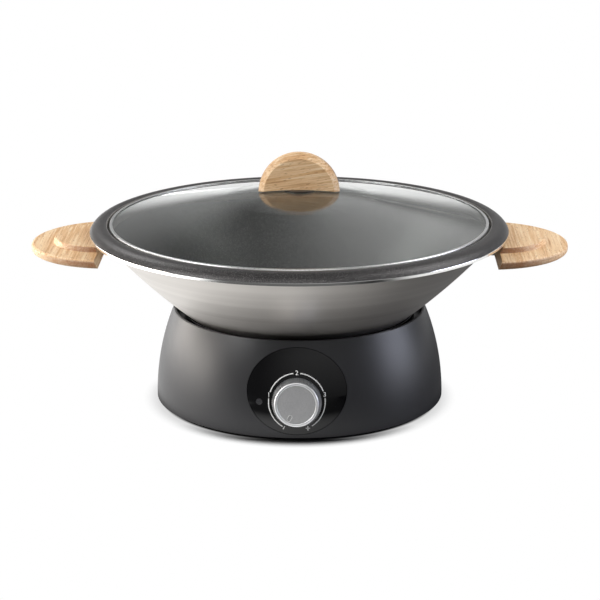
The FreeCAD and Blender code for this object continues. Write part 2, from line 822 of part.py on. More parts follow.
def wok_arcs(inset):
    """Knee and flank of the wok at an inset from its outer skin, as outline steps."""
    knee = (wok_point(wok_knee_centre, wok_knee_r - inset, wok_knee_slope / 2),
            wok_point(wok_knee_centre, wok_knee_r - inset, wok_knee_slope))
    centre, radius, half_gain = wok_flank()
    flank = (wok_point(centre, radius - inset, wok_knee_slope + half_gain),
             wok_point(centre, radius - inset, wok_knee_slope + 2 * half_gain))
    return knee, flank


def wok_inside(inset):
    """Everything inside the wok's skin at an inset."""
    knee, flank = wok_arcs(inset)
    bottom = wok_bottom_z + inset
    return spin(outline((0, bottom), (wok_flat_r, bottom), knee, flank, (0, flank[1][1])))


def flank_height(radius, inset):
    """Height of the wok's flank where it has that radius."""
    centre, flank_r, unused_gain = wok_flank()
    drop = math.sqrt((flank_r - inset)**2 - (radius - centre[0])**2)
    return centre[1] - math.copysign(drop, flank_r)


def circles_at(shape, radius, z):
    """Round edges about Z with that radius and height."""
    found = []
    for edge in shape.Edges:
        box = edge.BoundBox
        if edge.Closed and abs(box.XMax - radius) < 1e-6 and abs(box.ZMin - z) + abs(box.ZMax - z) < 1e-6:
            found.append(edge)
    return found


def make_wok_bowl():
    """Thin cast shell with a crowned flange, an inner ledge for the lid and a lug at each side."""
    knee, flank = wok_arcs(0.0)
    inner_knee = wok_arcs(wok_wall)[0]
    chord_r = rim_r - lid_seat_r
    chord_z = flange_inner_z - rim_edge_top_z
    chord = math.hypot(chord_r, chord_z)
    crown = ((rim_r + lid_seat_r) / 2 + rim_crown * chord_z / chord,
             (flange_inner_z + rim_edge_top_z) / 2 + rim_crown * chord_r / chord)
    seat_in = lid_seat_r - lid_seat_width
    seat_low = flank_height(seat_in, wok_wall)
    middle_r = (inner_knee[1][0] + seat_in) / 2
    bottom = wok_bottom_z + wok_wall
    bowl = spin(outline((0, wok_bottom_z), (wok_flat_r, wok_bottom_z), knee, flank,
                        (rim_r, rim_edge_bottom_z), (rim_r, rim_edge_top_z),
                        (crown, (lid_seat_r, flange_inner_z)), (lid_seat_r, lid_seat_z),
                        (seat_in, lid_seat_z), (seat_in, seat_low),
                        ((middle_r, flank_height(middle_r, wok_wall)), inner_knee[1]),
                        (inner_knee[0], (wok_flat_r, bottom)), (0, bottom)))
    bowl = bowl.makeFillet(rim_fillet, circles_at(bowl, flange_root_r, flange_root_z))
    rounded_edges = circles_at(bowl, rim_r, rim_edge_top_z) + circles_at(bowl, seat_in, lid_seat_z)
    bowl = bowl.makeFillet(rim_edge_round, rounded_edges)
    return bowl.fuse([handle_lug(), mirrored(handle_lug())])


def handle_lug():
    """Tongue cast on the wok's side that carries a wooden handle."""
    half = lug_width / 2
    lug = block((0, -half, lug_bottom_z), (lug_end_x, half, lug_bottom_z + lug_thickness))
    corners = [edge for edge in lug.Edges
               if abs(edge.tangentAt(edge.FirstParameter).z) > 0.9 and edge.BoundBox.XMin > lug_end_x / 2]
    lug = lug.makeFillet(lug_corner_r, corners)
    lug = lug.cut(wok_inside(wok_wall / 2))
    return lug.cut(handle_screw_tools(handle_screw_r + screw_gap, handle_screw_head_r + screw_gap, overcut))


def handle_screw_tools(shank_r, head_r, overlength):
    """Countersunk screws, pointing up, for the handle on the +X side."""
    tools = []
    sink = head_r - shank_r
    for side in (-1, 1):
        place = FreeCAD.Vector(handle_screw_x, side * handle_screw_spacing / 2, 0)
        cone = Part.makeCone(head_r, shank_r, sink, place + FreeCAD.Vector(0, 0, lug_bottom_z), Z_AXIS)
        shank = disc(shank_r, lug_bottom_z, lug_bottom_z + handle_screw_length + overlength, place)
        tools.append(cone.fuse(shank))
    return tools


def make_handle_screws():
    screws = handle_screw_tools(handle_screw_r, handle_screw_head_r, 0.0)
    for screw in list(screws):
        screws.append(mirrored(screw))
    return Part.makeCompound(screws)


# ------------------------------------------------------------------ wooden handles
def make_right_handle():
    """Half moon of wood with rounded edges, a raised half moon on top and a slot for the lug."""
    plate = disc(handle_r, handle_bottom_z, handle_top_z, at(handle_centre_x, 0))
    rims = [edge for edge in plate.Edges if edge.Closed and is_level(edge)]
    plate = plate.makeFillet(handle_edge_round, rims)
    step = Part.makeCone(step_r + step_flare, step_r, step_height, at(step_centre_x, handle_top_z), Z_AXIS)
    top_edge = [edge for edge in step.Edges if is_level(edge) and edge.BoundBox.ZMin > handle_top_z]
    step = step.makeFillet(step_edge_round, top_edge)
    wood = plate.fuse(step)
    rise = step_top_z - handle_bottom_z
    lean = rise * math.tan(math.radians(handle_inner_rake))
    inner = outline((handle_inner_x, handle_bottom_z), (handle_inner_x + lean, step_top_z),
                    (handle_inner_x + lean, step_top_z + overcut), (0, step_top_z + overcut),
                    (0, handle_bottom_z - overcut), (handle_inner_x, handle_bottom_z - overcut))
    trim = inner.extrude(FreeCAD.Vector(0, 4 * handle_r, 0))
    trim.translate(FreeCAD.Vector(0, -2 * handle_r, 0))
    half = lug_width / 2 + seat_gap
    slot = block((0, -half, handle_bottom_z - overcut),
                 (lug_end_x + seat_gap, half, lug_bottom_z + lug_thickness + seat_gap))
    corners = [edge for edge in slot.Edges
               if abs(edge.tangentAt(edge.FirstParameter).z) > 0.9 and edge.BoundBox.XMin > lug_end_x / 2]
    slot = slot.makeFillet(lug_corner_r + seat_gap, corners)
    pilots = handle_screw_tools(handle_screw_r + seat_gap, handle_screw_head_r, seat_gap)
    return wood.cut([trim, slot] + pilots)


def is_level(edge):
    return edge.BoundBox.ZMax - edge.BoundBox.ZMin < 1e-6


def make_left_handle():
    return mirrored(make_right_handle())


# ------------------------------------------------------------------ reflector and wok ring
def ring_upstand_r():
    """Inner radius of the ring's upstand, under the bead that meets the wok's skin."""
    bead_r, unused_z = bead_centre()
    return bead_r - ring_sheet / 2


def bead_centre():
    """Centre of the rolled bead that the wok's knee rests on."""
    touch = wok_point(wok_knee_centre, wok_knee_r, ring_seat_slope)
    return wok_point(touch, ring_bead_r + rest_gap, ring_seat_slope)


def ring_flange_r():
    return wall_r(ring_top_z, housing_wall + panel_backing) - rest_gap


def make_support_ring():
    """Rolled bead on an upstand, with a flange on the reflector's hem."""
    bead_r, bead_z = bead_centre()
    inner = ring_upstand_r()
    outer = inner + ring_sheet
    section = outline((inner, reflector_rim_z), (ring_flange_r(), reflector_rim_z),
                      (ring_flange_r(), ring_top_z), (outer, ring_top_z), (outer, bead_z), (inner, bead_z))
    bead = Part.makeTorus(bead_r, ring_bead_r, at(0, bead_z), Z_AXIS)
    holes = repeated(disc(ring_screw_r + screw_gap, 0, lip_z, at(ring_screw_circle_r(), 0)),
                     ring_screw_count, ring_screw_first_angle)
    return spin(section).fuse(bead).cut(holes)


def make_heat_reflector():
    """Pressed dish under the element: flat hem, sloping side and flat floor."""
    hem_r = ring_flange_r()
    side_r = ledge_inner_r - rest_gap - reflector_sheet
    outer = [(0, reflector_floor_z), (reflector_floor_r, reflector_floor_z, reflector_corner_r),
             (side_r, ledge_z - ledge_thickness), (side_r, ledge_z), (hem_r, ledge_z),
             (hem_r, reflector_rim_z)]
    lift = reflector_sheet
    inner = [(side_r - lift, reflector_rim_z), (side_r - lift, ledge_z - ledge_thickness),
             (reflector_floor_r - lift / 2, reflector_floor_z + lift, reflector_corner_r - lift),
             (0, reflector_floor_z + lift)]
    dish = spin(rounded(outer + inner))
    cuts = repeated(disc(ring_screw_r + screw_gap, 0, lip_z, at(ring_screw_circle_r(), 0)),
                    ring_screw_count, ring_screw_first_angle)
    for place in leg_places():
        cuts.append(disc(bushing_body_r + screw_gap, 0, lip_z, place))
    return dish.cut(cuts)


def make_ring_screws():
    place = at(ring_screw_circle_r(), 0)
    head_low = ring_top_z + seat_gap
    head = disc(ring_screw_head_r, head_low, head_low + ring_screw_head, place)
    top_edge = [edge for edge in head.Edges if is_level(edge) and edge.BoundBox.ZMin > head_low]
    head = head.makeFillet(ring_screw_head_round, top_edge)
    shank = disc(ring_screw_r, ledge_z - ring_boss_height + 2 * ring_sheet, head_low + bite, place)
    return Part.makeCompound(repeated(head.fuse(shank), ring_screw_count, ring_screw_first_angle))


# ------------------------------------------------------------------ heating element
def element_ends():
    """Where the two turns stop, with the level heading that each end leaves by."""
    ends = []
    for radius, angle in ((outer_turn_r, outer_end_angle), (inner_turn_r, inner_end_angle)):
        ends.append((wheel(radius, angle, tube_centre_z), wheel(1, angle + 90)))
    return ends


def leg_places():
    """Where the two legs go down, seen from above."""
    places = []
    for end, heading in element_ends():
        place = end + heading * leg_bend_r
        places.append(FreeCAD.Vector(place.x, place.y, 0))
    return places


def leg_path(end, heading):
    """Bend from level to straight down, then the leg, as edges from the turn outwards."""
    down = FreeCAD.Vector(0, 0, -leg_bend_r)
    centre = end + down
    diagonal = math.sqrt(0.5) * leg_bend_r
    via = centre + heading * diagonal + Z_AXIS * diagonal
    corner = centre + heading * leg_bend_r
    foot = FreeCAD.Vector(corner.x, corner.y, leg_end_z)
    return Part.Arc(end, via, corner).toShape(), Part.makeLine(corner, foot), foot


def turn_arc(radius, from_angle, to_angle):
    middle = (from_angle + to_angle) / 2
    return Part.Arc(wheel(radius, from_angle, tube_centre_z), wheel(radius, middle, tube_centre_z),
                    wheel(radius, to_angle, tube_centre_z)).toShape()


def make_heating_element():
    """One sheathed tube bent into two turns joined by a hairpin, with both ends turned down."""
    (outer_end, outer_heading), (inner_end, inner_heading) = element_ends()
    bend_out, leg_out, foot_out = leg_path(outer_end, outer_heading)
    bend_in, leg_in, unused_foot = leg_path(inner_end, inner_heading)
    far = hairpin_angle - FULL_TURN
    middle_r = (outer_turn_r + inner_turn_r) / 2
    hairpin_r = (outer_turn_r - inner_turn_r) / 2
    tip = wheel(middle_r, hairpin_angle, tube_centre_z) - wheel(hairpin_r, hairpin_angle + 90)
    hairpin = Part.Arc(wheel(outer_turn_r, far, tube_centre_z), tip,
                       wheel(inner_turn_r, far, tube_centre_z)).toShape()
    path = Part.Wire([leg_out, bend_out, turn_arc(outer_turn_r, outer_end_angle, far), hairpin,
                      turn_arc(inner_turn_r, far, inner_end_angle), bend_in, leg_in])
    circle = Part.Wire([Part.makeCircle(tube_r, foot_out, Z_AXIS)])
    return path.makePipeShell([circle], True, False)


def make_element_terminals():
    """A pin in each end of the tube, with a flat tab for the lead."""
    terminals = []
    for place in leg_places():
        pin_low = leg_end_z - terminal_pin_length
        pin = disc(terminal_pin_r, pin_low, leg_end_z, place)
        tab = block((-tab_width / 2, -tab_thickness / 2, pin_low - tab_length),
                    (tab_width / 2, tab_thickness / 2, pin_low + bite))
        tab.translate(place)
        terminals.append(pin.fuse(tab))
    return Part.makeCompound(terminals)


def make_element_bushings():
    """Flanged sleeves that carry the legs through the reflector's floor."""
    floor_top = reflector_floor_z + reflector_sheet
    sleeves = []
    for place in leg_places():
        sleeve = disc(bushing_body_r, reflector_floor_z - bushing_depth, floor_top, place)
        sleeve = sleeve.fuse(disc(bushing_flange_r, floor_top + seat_gap, floor_top + bushing_flange, place))
        sleeve = sleeve.fuse(disc(bushing_body_r, floor_top - bite, floor_top + bushing_flange, place))
        sleeves.append(sleeve.cut(disc(tube_r + seat_gap, 0, lip_z, place)))
    return Part.makeCompound(sleeves)


def make_element_supports():
    """Pressed saddles on the reflector's floor that the two turns lie in."""
    floor_top = reflector_floor_z + reflector_sheet
    low_r = inner_turn_r - tube_r - support_overhang
    high_r = outer_turn_r + tube_r + support_overhang
    half = support_sheet / 2
    web = block((low_r, -half, floor_top), (high_r, half, tube_centre_z))
    foot = block((low_r, -half, floor_top), (high_r, support_foot_width, floor_top + support_sheet))
    saddle = web.fuse(foot)
    for radius in (inner_turn_r, outer_turn_r):
        start = FreeCAD.Vector(radius, -support_foot_width, tube_centre_z)
        saddle = saddle.cut(Part.makeCylinder(tube_r + screw_gap, support_foot_width * 2, start, Y_AXIS))
    return Part.makeCompound(repeated(saddle, support_count, support_first_angle))


# ------------------------------------------------------------------ fuse and terminal block
def fuse_axis_z():
    return reflector_floor_z - seat_gap - fuse_r


def make_thermal_fuse():
    can_start = FreeCAD.Vector(fuse_x, fuse_y - fuse_length / 2, fuse_axis_z())
    lead_start = can_start - Y_AXIS * fuse_lead
    can = Part.makeCylinder(fuse_r, fuse_length, can_start, Y_AXIS)
    return can.fuse(Part.makeCylinder(fuse_lead_r, fuse_length + 2 * fuse_lead, lead_start, Y_AXIS))


def make_fuse_clip():
    """Spring strap that holds the fuse up against the reflector, with an ear at each side."""
    inner = fuse_r + seat_gap
    outer = inner + fuse_clip_sheet
    top = reflector_floor_z - seat_gap
    ear_low = top - fuse_clip_sheet
    axis_z = fuse_axis_z()
    ear_out = outer + fuse_clip_ear
    section = outline((-ear_out, top), (-ear_out, ear_low), (-outer, ear_low), (-outer, axis_z),
                      ((0, axis_z - outer), (outer, axis_z)), (outer, ear_low), (ear_out, ear_low),
                      (ear_out, top), (inner, top), (inner, axis_z),
                      ((0, axis_z - inner), (-inner, axis_z)), (-inner, top))
    strap = section.extrude(FreeCAD.Vector(0, fuse_clip_width, 0))
    strap.translate(FreeCAD.Vector(fuse_x, fuse_y - fuse_clip_width / 2, 0))
    return strap


def make_terminal_block():
    low = plate_top_z
    high = low + block_height
    half_l = block_length / 2
    half_w = block_width / 2
    body = block((-half_l, -half_w, low), (half_l, half_w, high))
    pitch = block_length / block_ways
    cuts = []
    for k in range(block_ways):
        x = (k - (block_ways - 1) / 2) * pitch
        wire_z = low + block_wire_height
        for side in (-1, 1):
            start = FreeCAD.Vector(x, side * block_web / 2, wire_z)
            cuts.append(Part.makeCylinder(block_wire_r, half_w, start, Y_AXIS * side))
            screw_place = FreeCAD.Vector(x, side * block_screw_offset, 0)
            cuts.append(disc(block_screw_r, wire_z, high + overcut, screw_place))
    for k in range(block_ways - 1):
        x = (k - (block_ways - 2) / 2) * pitch
        cuts.append(block((x - block_groove / 2, -half_w - overcut, high - block_groove_depth),
                          (x + block_groove / 2, half_w + overcut, high + overcut)))
    cuts.append(disc(block_stud_r + screw_gap, 0, high + overcut))
    body = body.cut(cuts)
    body.translate(FreeCAD.Vector(block_x, block_y, 0))
    return body


def make_terminal_block_screw():
    top = plate_top_z + block_height
    place = FreeCAD.Vector(block_x, block_y, 0)
    head = disc(block_stud_head_r, top + seat_gap, top + seat_gap + block_stud_head, place)
    return head.fuse(disc(block_stud_r, plate_z + bite, top + seat_gap + bite, place))


# ------------------------------------------------------------------ lid
def glass_flank_end():
    """Top of the glass where it enters the rim band."""
    return (lid_band_r - lid_band_width, lid_band_top_z - lid_band_sheet - seat_gap)


def glass_crown_z():
    """Top of the glass on the axis."""
    flank_r, flank_z = glass_flank_end()
    slope = math.radians(glass_flank_slope)
    cap_edge_r = glass_cap_r * math.sin(slope)
    cap_rise = glass_cap_r * (1 - math.cos(slope))
    return flank_z + (flank_r - cap_edge_r) * math.tan(slope) + cap_rise


def glass_cap(offset, slope_end):
    """Arc of the crown at an offset above the glass: (point on it, end point)."""
    centre_z = glass_crown_z() - glass_cap_r
    points = []
    for slope in (slope_end / 2, slope_end):
        turn = math.radians(slope)
        reach = glass_cap_r + offset
        points.append((reach * math.sin(turn), centre_z + reach * math.cos(turn)))
    return tuple(points)


def make_lid_glass():
    crown = glass_crown_z()
    edge_r = lid_band_r - lid_band_sheet - glass_edge_play
    fall = math.tan(math.radians(glass_flank_slope))
    upper = glass_cap(0.0, glass_flank_slope)
    lower = glass_cap(-glass_thickness, glass_flank_slope)
    upper_edge = (edge_r, upper[1][1] - (edge_r - upper[1][0]) * fall)
    lower_edge = (edge_r, lower[1][1] - (edge_r - lower[1][0]) * fall)
    section = outline((0, crown), upper, upper_edge, lower_edge, lower[1],
                      (lower[0], (0, crown - glass_thickness)))
    return spin(section).cut(disc(glass_hole_r, 0, crown + overcut))


def make_lid_rim():
    """Steel band crimped round the edge of the glass."""
    outer = lid_band_r
    inner = lid_band_r - lid_band_width
    sheet = lid_band_sheet
    low = lid_band_bottom_z
    high = lid_band_top_z
    bend = lid_band_round
    return spin(rounded([(inner, low), (outer, low, bend), (outer, high, bend), (inner, high),
                         (inner, high - sheet), (outer - sheet, high - sheet), (outer - sheet, low + sheet),
                         (inner, low + sheet)]))


def sphere_above_glass(offset):
    return Part.makeSphere(glass_cap_r + offset, FreeCAD.Vector(0, 0, glass_crown_z() - glass_cap_r), Z_AXIS)


def make_lid_knob():
    """Half disc of wood with a broad bevel on both faces and a foot hollowed to the dome."""
    centre_z = glass_crown_z() - lid_knob_chord
    half = lid_knob_thickness / 2
    bevel_start = half - lid_knob_bevel_depth
    face_r = lid_knob_r - lid_knob_bevel
    section = Part.Face(Part.makePolygon([
        FreeCAD.Vector(0, -half, 0), FreeCAD.Vector(face_r, -half, 0),
        FreeCAD.Vector(lid_knob_r, -bevel_start, 0), FreeCAD.Vector(lid_knob_r, bevel_start, 0),
        FreeCAD.Vector(face_r, half, 0), FreeCAD.Vector(0, half, 0), FreeCAD.Vector(0, -half, 0)]))
    disc_of_wood = section.revolve(ORIGIN, Y_AXIS, FULL_TURN)
    disc_of_wood.translate(FreeCAD.Vector(0, 0, centre_z))
    knob = disc_of_wood.cut(sphere_above_glass(lid_pad_thickness))
    insert_top = glass_crown_z() + lid_pad_thickness + insert_sink + insert_length
    return knob.cut(disc(insert_r + seat_gap, 0, insert_top + seat_gap))


def make_lid_knob_pad():
    """Thin soft pad between the glass and the wooden knob."""
    spread = math.degrees(math.asin(lid_pad_r / glass_cap_r))
    upper = glass_cap(lid_pad_thickness - seat_gap, spread)
    lower = glass_cap(seat_gap, spread)
    crown = glass_crown_z()
    section = outline((0, crown + lid_pad_thickness - seat_gap), upper, lower[1],
                      (lower[0], (0, crown + seat_gap)))
    return spin(section).cut(disc(glass_hole_r, 0, crown + through))


def make_lid_knob_insert():
    low = glass_crown_z() + lid_pad_thickness + insert_sink
    return ring(insert_r, lid_screw_r + screw_gap, low, low + insert_length)


def washer_top_z():
    """The washer's edge is what meets the hollow underside of the glass."""
    fall = lid_washer_r**2 / (2 * (glass_cap_r - glass_thickness))
    return glass_crown_z() - glass_thickness - fall - seat_gap


def make_lid_inner_washer():
    top = washer_top_z()
    return ring(lid_washer_r, lid_screw_r + screw_gap, top - lid_washer_thickness, top)


def make_lid_knob_screw():
    top = washer_top_z() - lid_washer_thickness - seat_gap
    head = disc(lid_screw_head_r, top - lid_screw_head, top)
    low_edge = [edge for edge in head.Edges if is_level(edge) and edge.BoundBox.ZMax < top]
    head = head.makeFillet(lid_screw_head_round, low_edge)
    reach = glass_crown_z() + lid_pad_thickness + insert_sink + lid_screw_grip
    return head.fuse(disc(lid_screw_r, top - bite, reach))


# ------------------------------------------------------------------ all pieces
MAKERS = {
    "base_housing": make_base_housing,
    "base_plate": make_base_plate,
    "rubber_feet": make_rubber_feet,
    "base_plate_screws": make_base_plate_screws,
    "cord_gland": make_cord_gland,
    "gland_nut": make_gland_nut,
    "control_panel": make_control_panel,
    "indicator_lens": make_indicator_lens,
    "indicator_lamp": make_indicator_lamp,
    "thermostat_body": make_thermostat_body,
    "thermostat_nut": make_thermostat_nut,
    "thermostat_shaft": make_thermostat_shaft,
    "control_knob": make_control_knob,
    "knob_trim_ring": make_knob_trim_ring,
    "knob_face": make_knob_face,
    "heat_reflector": make_heat_reflector,
    "support_ring": make_support_ring,
    "ring_screws": make_ring_screws,
    "heating_element": make_heating_element,
    "element_terminals": make_element_terminals,
    "element_bushings": make_element_bushings,
    "element_supports": make_element_supports,
    "thermal_fuse": make_thermal_fuse,
    "fuse_clip": make_fuse_clip,
    "terminal_block": make_terminal_block,
    "terminal_block_screw": make_terminal_block_screw,
    "wok_bowl": make_wok_bowl,
    "left_handle": make_left_handle,
    "right_handle": make_right_handle,
    "handle_screws": make_handle_screws,
    "lid_glass": make_lid_glass,
    "lid_rim": make_lid_rim,
    "lid_knob": make_lid_knob,
    "lid_knob_pad": make_lid_knob_pad,
    "lid_knob_insert": make_lid_knob_insert,
    "lid_inner_washer": make_lid_inner_washer,
    "lid_knob_screw": make_lid_knob_screw,
}


def main():
    os.makedirs("parts", exist_ok=True)
    for name, make in MAKERS.items():
        shape = make()
        print(f"{name}: {len(shape.Solids)} solids, {shape.Volume:.0f} mm3, valid {shape.isValid()}")
        shape.exportStep(os.path.join("parts", name + ".step"))


main()
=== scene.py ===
"""Electric wok: materials, dial print, light and camera, set round the CAD frame.

Metres, +Z up, the control knob faces -Y and the two wok handles lie along X.
"""
import math
import bpy
import bmesh
from mathutils import Matrix, Vector


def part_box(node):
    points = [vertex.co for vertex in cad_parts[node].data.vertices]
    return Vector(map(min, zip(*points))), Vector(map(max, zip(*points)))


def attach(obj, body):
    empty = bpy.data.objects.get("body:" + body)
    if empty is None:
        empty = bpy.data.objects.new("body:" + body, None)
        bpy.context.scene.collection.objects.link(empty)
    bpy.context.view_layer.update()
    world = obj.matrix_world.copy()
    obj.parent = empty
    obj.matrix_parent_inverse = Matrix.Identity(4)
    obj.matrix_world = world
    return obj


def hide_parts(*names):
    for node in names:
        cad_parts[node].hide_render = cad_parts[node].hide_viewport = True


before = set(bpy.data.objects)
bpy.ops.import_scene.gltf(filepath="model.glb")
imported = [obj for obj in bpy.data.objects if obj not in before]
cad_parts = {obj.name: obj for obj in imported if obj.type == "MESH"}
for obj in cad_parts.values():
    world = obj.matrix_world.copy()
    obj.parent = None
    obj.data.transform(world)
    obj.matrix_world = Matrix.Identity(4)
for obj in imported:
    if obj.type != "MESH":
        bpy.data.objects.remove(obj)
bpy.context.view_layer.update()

MM = 0.001

# where the dial stands: the panel leans back and its print follows the knob's axis
PANEL_TILT = math.radians(11.1035)
PANEL_FRONT = Vector((0, -121.2, 43.1)) * MM
DIAL_DROP = 9 * MM
PANEL_NORMAL = Vector((0, -math.cos(PANEL_TILT), math.sin(PANEL_TILT)))
PANEL_UP = Vector((0, math.sin(PANEL_TILT), math.cos(PANEL_TILT)))
TO_PANEL = Matrix((Vector((1, 0, 0)), PANEL_UP, PANEL_NORMAL)).transposed().to_4x4()

# dial print; angles run clockwise from straight down, as the dial is read
PRINT_THICKNESS = 0.05 * MM
PRINT_LIFT = 0.09 * MM
ARC_RADIUS = 24.5 * MM
ARC_LINE = 0.9 * MM
ARC_SPANS = ((30, 97), (110, 173), (187, 248), (262, 328))
DIGIT_RADIUS = 24.9 * MM
DIGIT_HEIGHT = 4.0 * MM
DIGITS = (("1", 104), ("2", 180), ("3", 255))
DIGIT_SWELL = 0.08 * MM
CAPITAL_SHARE = 0.73        # height of a digit over the size of its type
OFF_MARK_ANGLE = 27
OFF_MARK_LENGTH = 3.0 * MM
OFF_MARK_TURN = 62
OFF_MARK_SHIFT = Vector((-0.1, -0.4, 0)) * MM
PLUS_ANGLE = 337
PLUS_LENGTH = 4.0 * MM
PLUS_LINE = 1.15 * MM
PRINT_START = 4 * MM        # the flat print starts this far in front of the panel
ARC_STEP = 2.5              # degrees between the cuts of the printed ring

# knob and lid rings, in millimetres; heights are off the panel's face
TRIM_OUT = 18.15
TRIM_IN = 15.6
TRIM_LOW = 13.25
TRIM_HIGH = 14.85
BAND_WIDTH = 2.6
BAND_SHEET = 0.6
BAND_STEPS = 288
TRIM_STEPS = 96
ROUNDING_CUTS = 4

# the knob's pointer
FACE_HEIGHT = 14.35 * MM
POINTER_LENGTH = 5.1 * MM
POINTER_WIDTH = 2.7 * MM
POINTER_REACH = 12.4 * MM
POINTER_LINE = 0.4 * MM
POINTER_STEP = 15           # degrees between the corners of its round ends

# the bowl's bright rim and the painted highlight along its flange's crest, in millimetres off
# its axis and off the table
RIM_FACED = (179.2, 179.5)
CREST_RADIUS = 165.35
CREST_FADE = (0.15, 0.6)
CREST_HEIGHT = (156.6, 157.3)

# the floor's painted shadow and the painted glow that gloss sees on it, in metres
FLOOR_RADIUS = 4.0
FOOT_INSIDE = (0.124, 0.119)
FOOT_CONTACT = (0.128, 0.142)
CREVICE = 14 * MM
SHADOW_FRONT = (-0.08, -0.118)
GLOW_SLOPE = (-0.13, 0.2)
GLOW_AHEAD = (-0.3, -0.17)
SIDES_BEGIN = (-0.55, -0.4)
# the painted glow at the sides that gloss sees: axis, where one starts, where it is full, its
# strength
PALE_SIDES = (("Y", 0.35, 0.8, 1.0), ("X", -0.24, -0.45, 2.8), ("X", 0.3, 0.6, 1.0))

# ways in which gloss finds the pale floor, the backdrop, the haze and the room in front
FLOOR_BRIGHT_WAY = (-1.0, -0.6, 0.0)
BACKDROP_WAY = (-0.25, 0.97, 0.0)
HAZE_WAY = (0.15, 0.87, 0.47)
ROOM_WAY = (0.4, -0.9, 0.0)
EVEN_FILL = 0.11

# soft lights: name, place, width and height in metres, watts, colour; all point at LAMP_AIM
LAMP_AIM = (0, 0, 0.1)
LAMPS = (
    ("key_left", (-1.4, 0.2, 0.2), (1.5, 0.3), 14, "#fff8f0"),
    ("front_left", (-1.0, -0.6, 0.85), (0.6, 0.6), 10, "#ffffff"),
    ("window_left", (-0.86, 0.86, 1.2), (0.5, 0.5), 6, "#ffffff"),
    ("overhead_right", (1.05, 0.1, 1.2), (0.8, 0.8), 12, "#ffffff"),
    ("side_right", (1.5, -0.05, 0.35), (0.8, 0.6), 9, "#e8edff"),
    ("front_fill", (0.0, -1.3, 1.5), (1.2, 0.5), 8, "#ffffff"),
)

CAMERA_DISTANCE = 1.700
CAMERA_HEIGHT = 0.5801
CAMERA_PITCH = math.radians(16.2)
CAMERA_TURN = math.radians(1.1)
CAMERA_ROLL = math.radians(0.14)
CAMERA_LENS = 121.86
CAMERA_SENSOR = 36.0
CAMERA_SHIFT_X = 0.001


# ------------------------------------------------------------------ material helpers
def srgb(code):
    """Linear colour of an sRGB hex value, opaque."""
    parts = [int(code[i:i + 2], 16) / 255 for i in (1, 3, 5)]
    linear = [p / 12.92 if p <= 0.04045 else ((p + 0.055) / 1.055)**2.4 for p in parts]
    return (*linear, 1.0)


def add(tree, kind, links=None, take=None, **settings):
    """Adds one node and returns an output of it. settings are the node's own properties;
    links names or numbers its inputs and gives each a value or the output that feeds it."""
    made = tree.nodes.new("ShaderNode" + kind)
    for name, value in settings.items():
        setattr(made, name, value)
    for key, value in (links or {}).items():
        socket = made.inputs[key] if isinstance(key, int) else next(
            s for s in made.inputs if s.enabled and s.name == key)
        if isinstance(value, bpy.types.NodeSocket):
            tree.links.new(value, socket)
        else:
            socket.default_value = value
    return next((s for s in made.outputs if s.enabled and take in (None, s.name)), made)


def blank(name, **values):
    """A material with its shader's plain values set, its tree, shader and coordinates."""
    made = bpy.data.materials.new(name)
    made.use_nodes = True
    tree = made.node_tree
    shader = tree.nodes["Principled BSDF"]
    for socket, value in values.items():
        shader.inputs[socket.replace("_", " ")].default_value = value
    return made, tree, shader, add(tree, "TexCoord", take="Object")


def per(size):
    """Texture scale whose pattern repeats about every size millimetres."""
    return 1 / (size * MM)


# ------------------------------------------------------------------ plastics and rubber
def moulded_abs_satin():
    """ABS from a spark-eroded mould: deep black, a broad soft sheen and a grain just felt."""
    made, tree, shader, place = blank("moulded_abs_satin", IOR=1.54)
    grain = add(tree, "TexNoise", {"Vector": place, "Scale": per(0.9), "Detail": 3.0})
    cloud = add(tree, "TexNoise", {"Vector": place, "Scale": per(30), "Detail": 2.0})
    tone = add(tree, "Mix", {"Factor": cloud, "A": srgb("#151518"), "B": srgb("#1c1c20")},
               data_type="RGBA")
    rough = add(tree, "MapRange", {"Value": grain, "To Min": 0.34, "To Max": 0.46})
    relief = add(tree, "Bump", {"Height": grain, "Strength": 0.5, "Distance": 0.06 * MM})
    tree.links.new(tone, shader.inputs["Base Color"])
    tree.links.new(rough, shader.inputs["Roughness"])
    tree.links.new(relief, shader.inputs["Normal"])
    return made


def glass_filled_nylon():
    """Glass-filled nylon, moulded: matt charcoal with faint flow marks from the fibres."""
    made, tree, shader, place = blank("glass_filled_nylon", IOR=1.53)
    fibre = add(tree, "TexNoise", {"Vector": place, "Scale": per(1.6), "Detail": 5.0,
                                   "Distortion": 0.6})
    tone = add(tree, "Mix", {"Factor": fibre, "A": srgb("#1b1b1c"), "B": srgb("#2a2a2c")},
               data_type="RGBA")
    rough = add(tree, "MapRange", {"Value": fibre, "To Min": 0.55, "To Max": 0.72})
    relief = add(tree, "Bump", {"Height": fibre, "Strength": 0.3, "Distance": 0.06 * MM})
    tree.links.new(tone, shader.inputs["Base Color"])
    tree.links.new(rough, shader.inputs["Roughness"])
    tree.links.new(relief, shader.inputs["Normal"])
    return made


def moulded_silicone_rubber():
    """Silicone rubber, compression moulded: dull dark grey that holds a little dust."""
    made, tree, shader, place = blank("moulded_silicone_rubber", IOR=1.41)
    dust = add(tree, "TexNoise", {"Vector": place, "Scale": per(2.5), "Detail": 6.0})
    speck = add(tree, "MapRange", {"Value": dust, "From Min": 0.55, "From Max": 0.75})
    tone = add(tree, "Mix", {"Factor": speck, "A": srgb("#171717"), "B": srgb("#333231")},
               data_type="RGBA")
    rough = add(tree, "MapRange", {"Value": dust, "To Min": 0.68, "To Max": 0.85})
    relief = add(tree, "Bump", {"Height": dust, "Strength": 0.3, "Distance": 0.08 * MM})
    tree.links.new(tone, shader.inputs["Base Color"])
    tree.links.new(rough, shader.inputs["Roughness"])
    tree.links.new(relief, shader.inputs["Normal"])
    return made


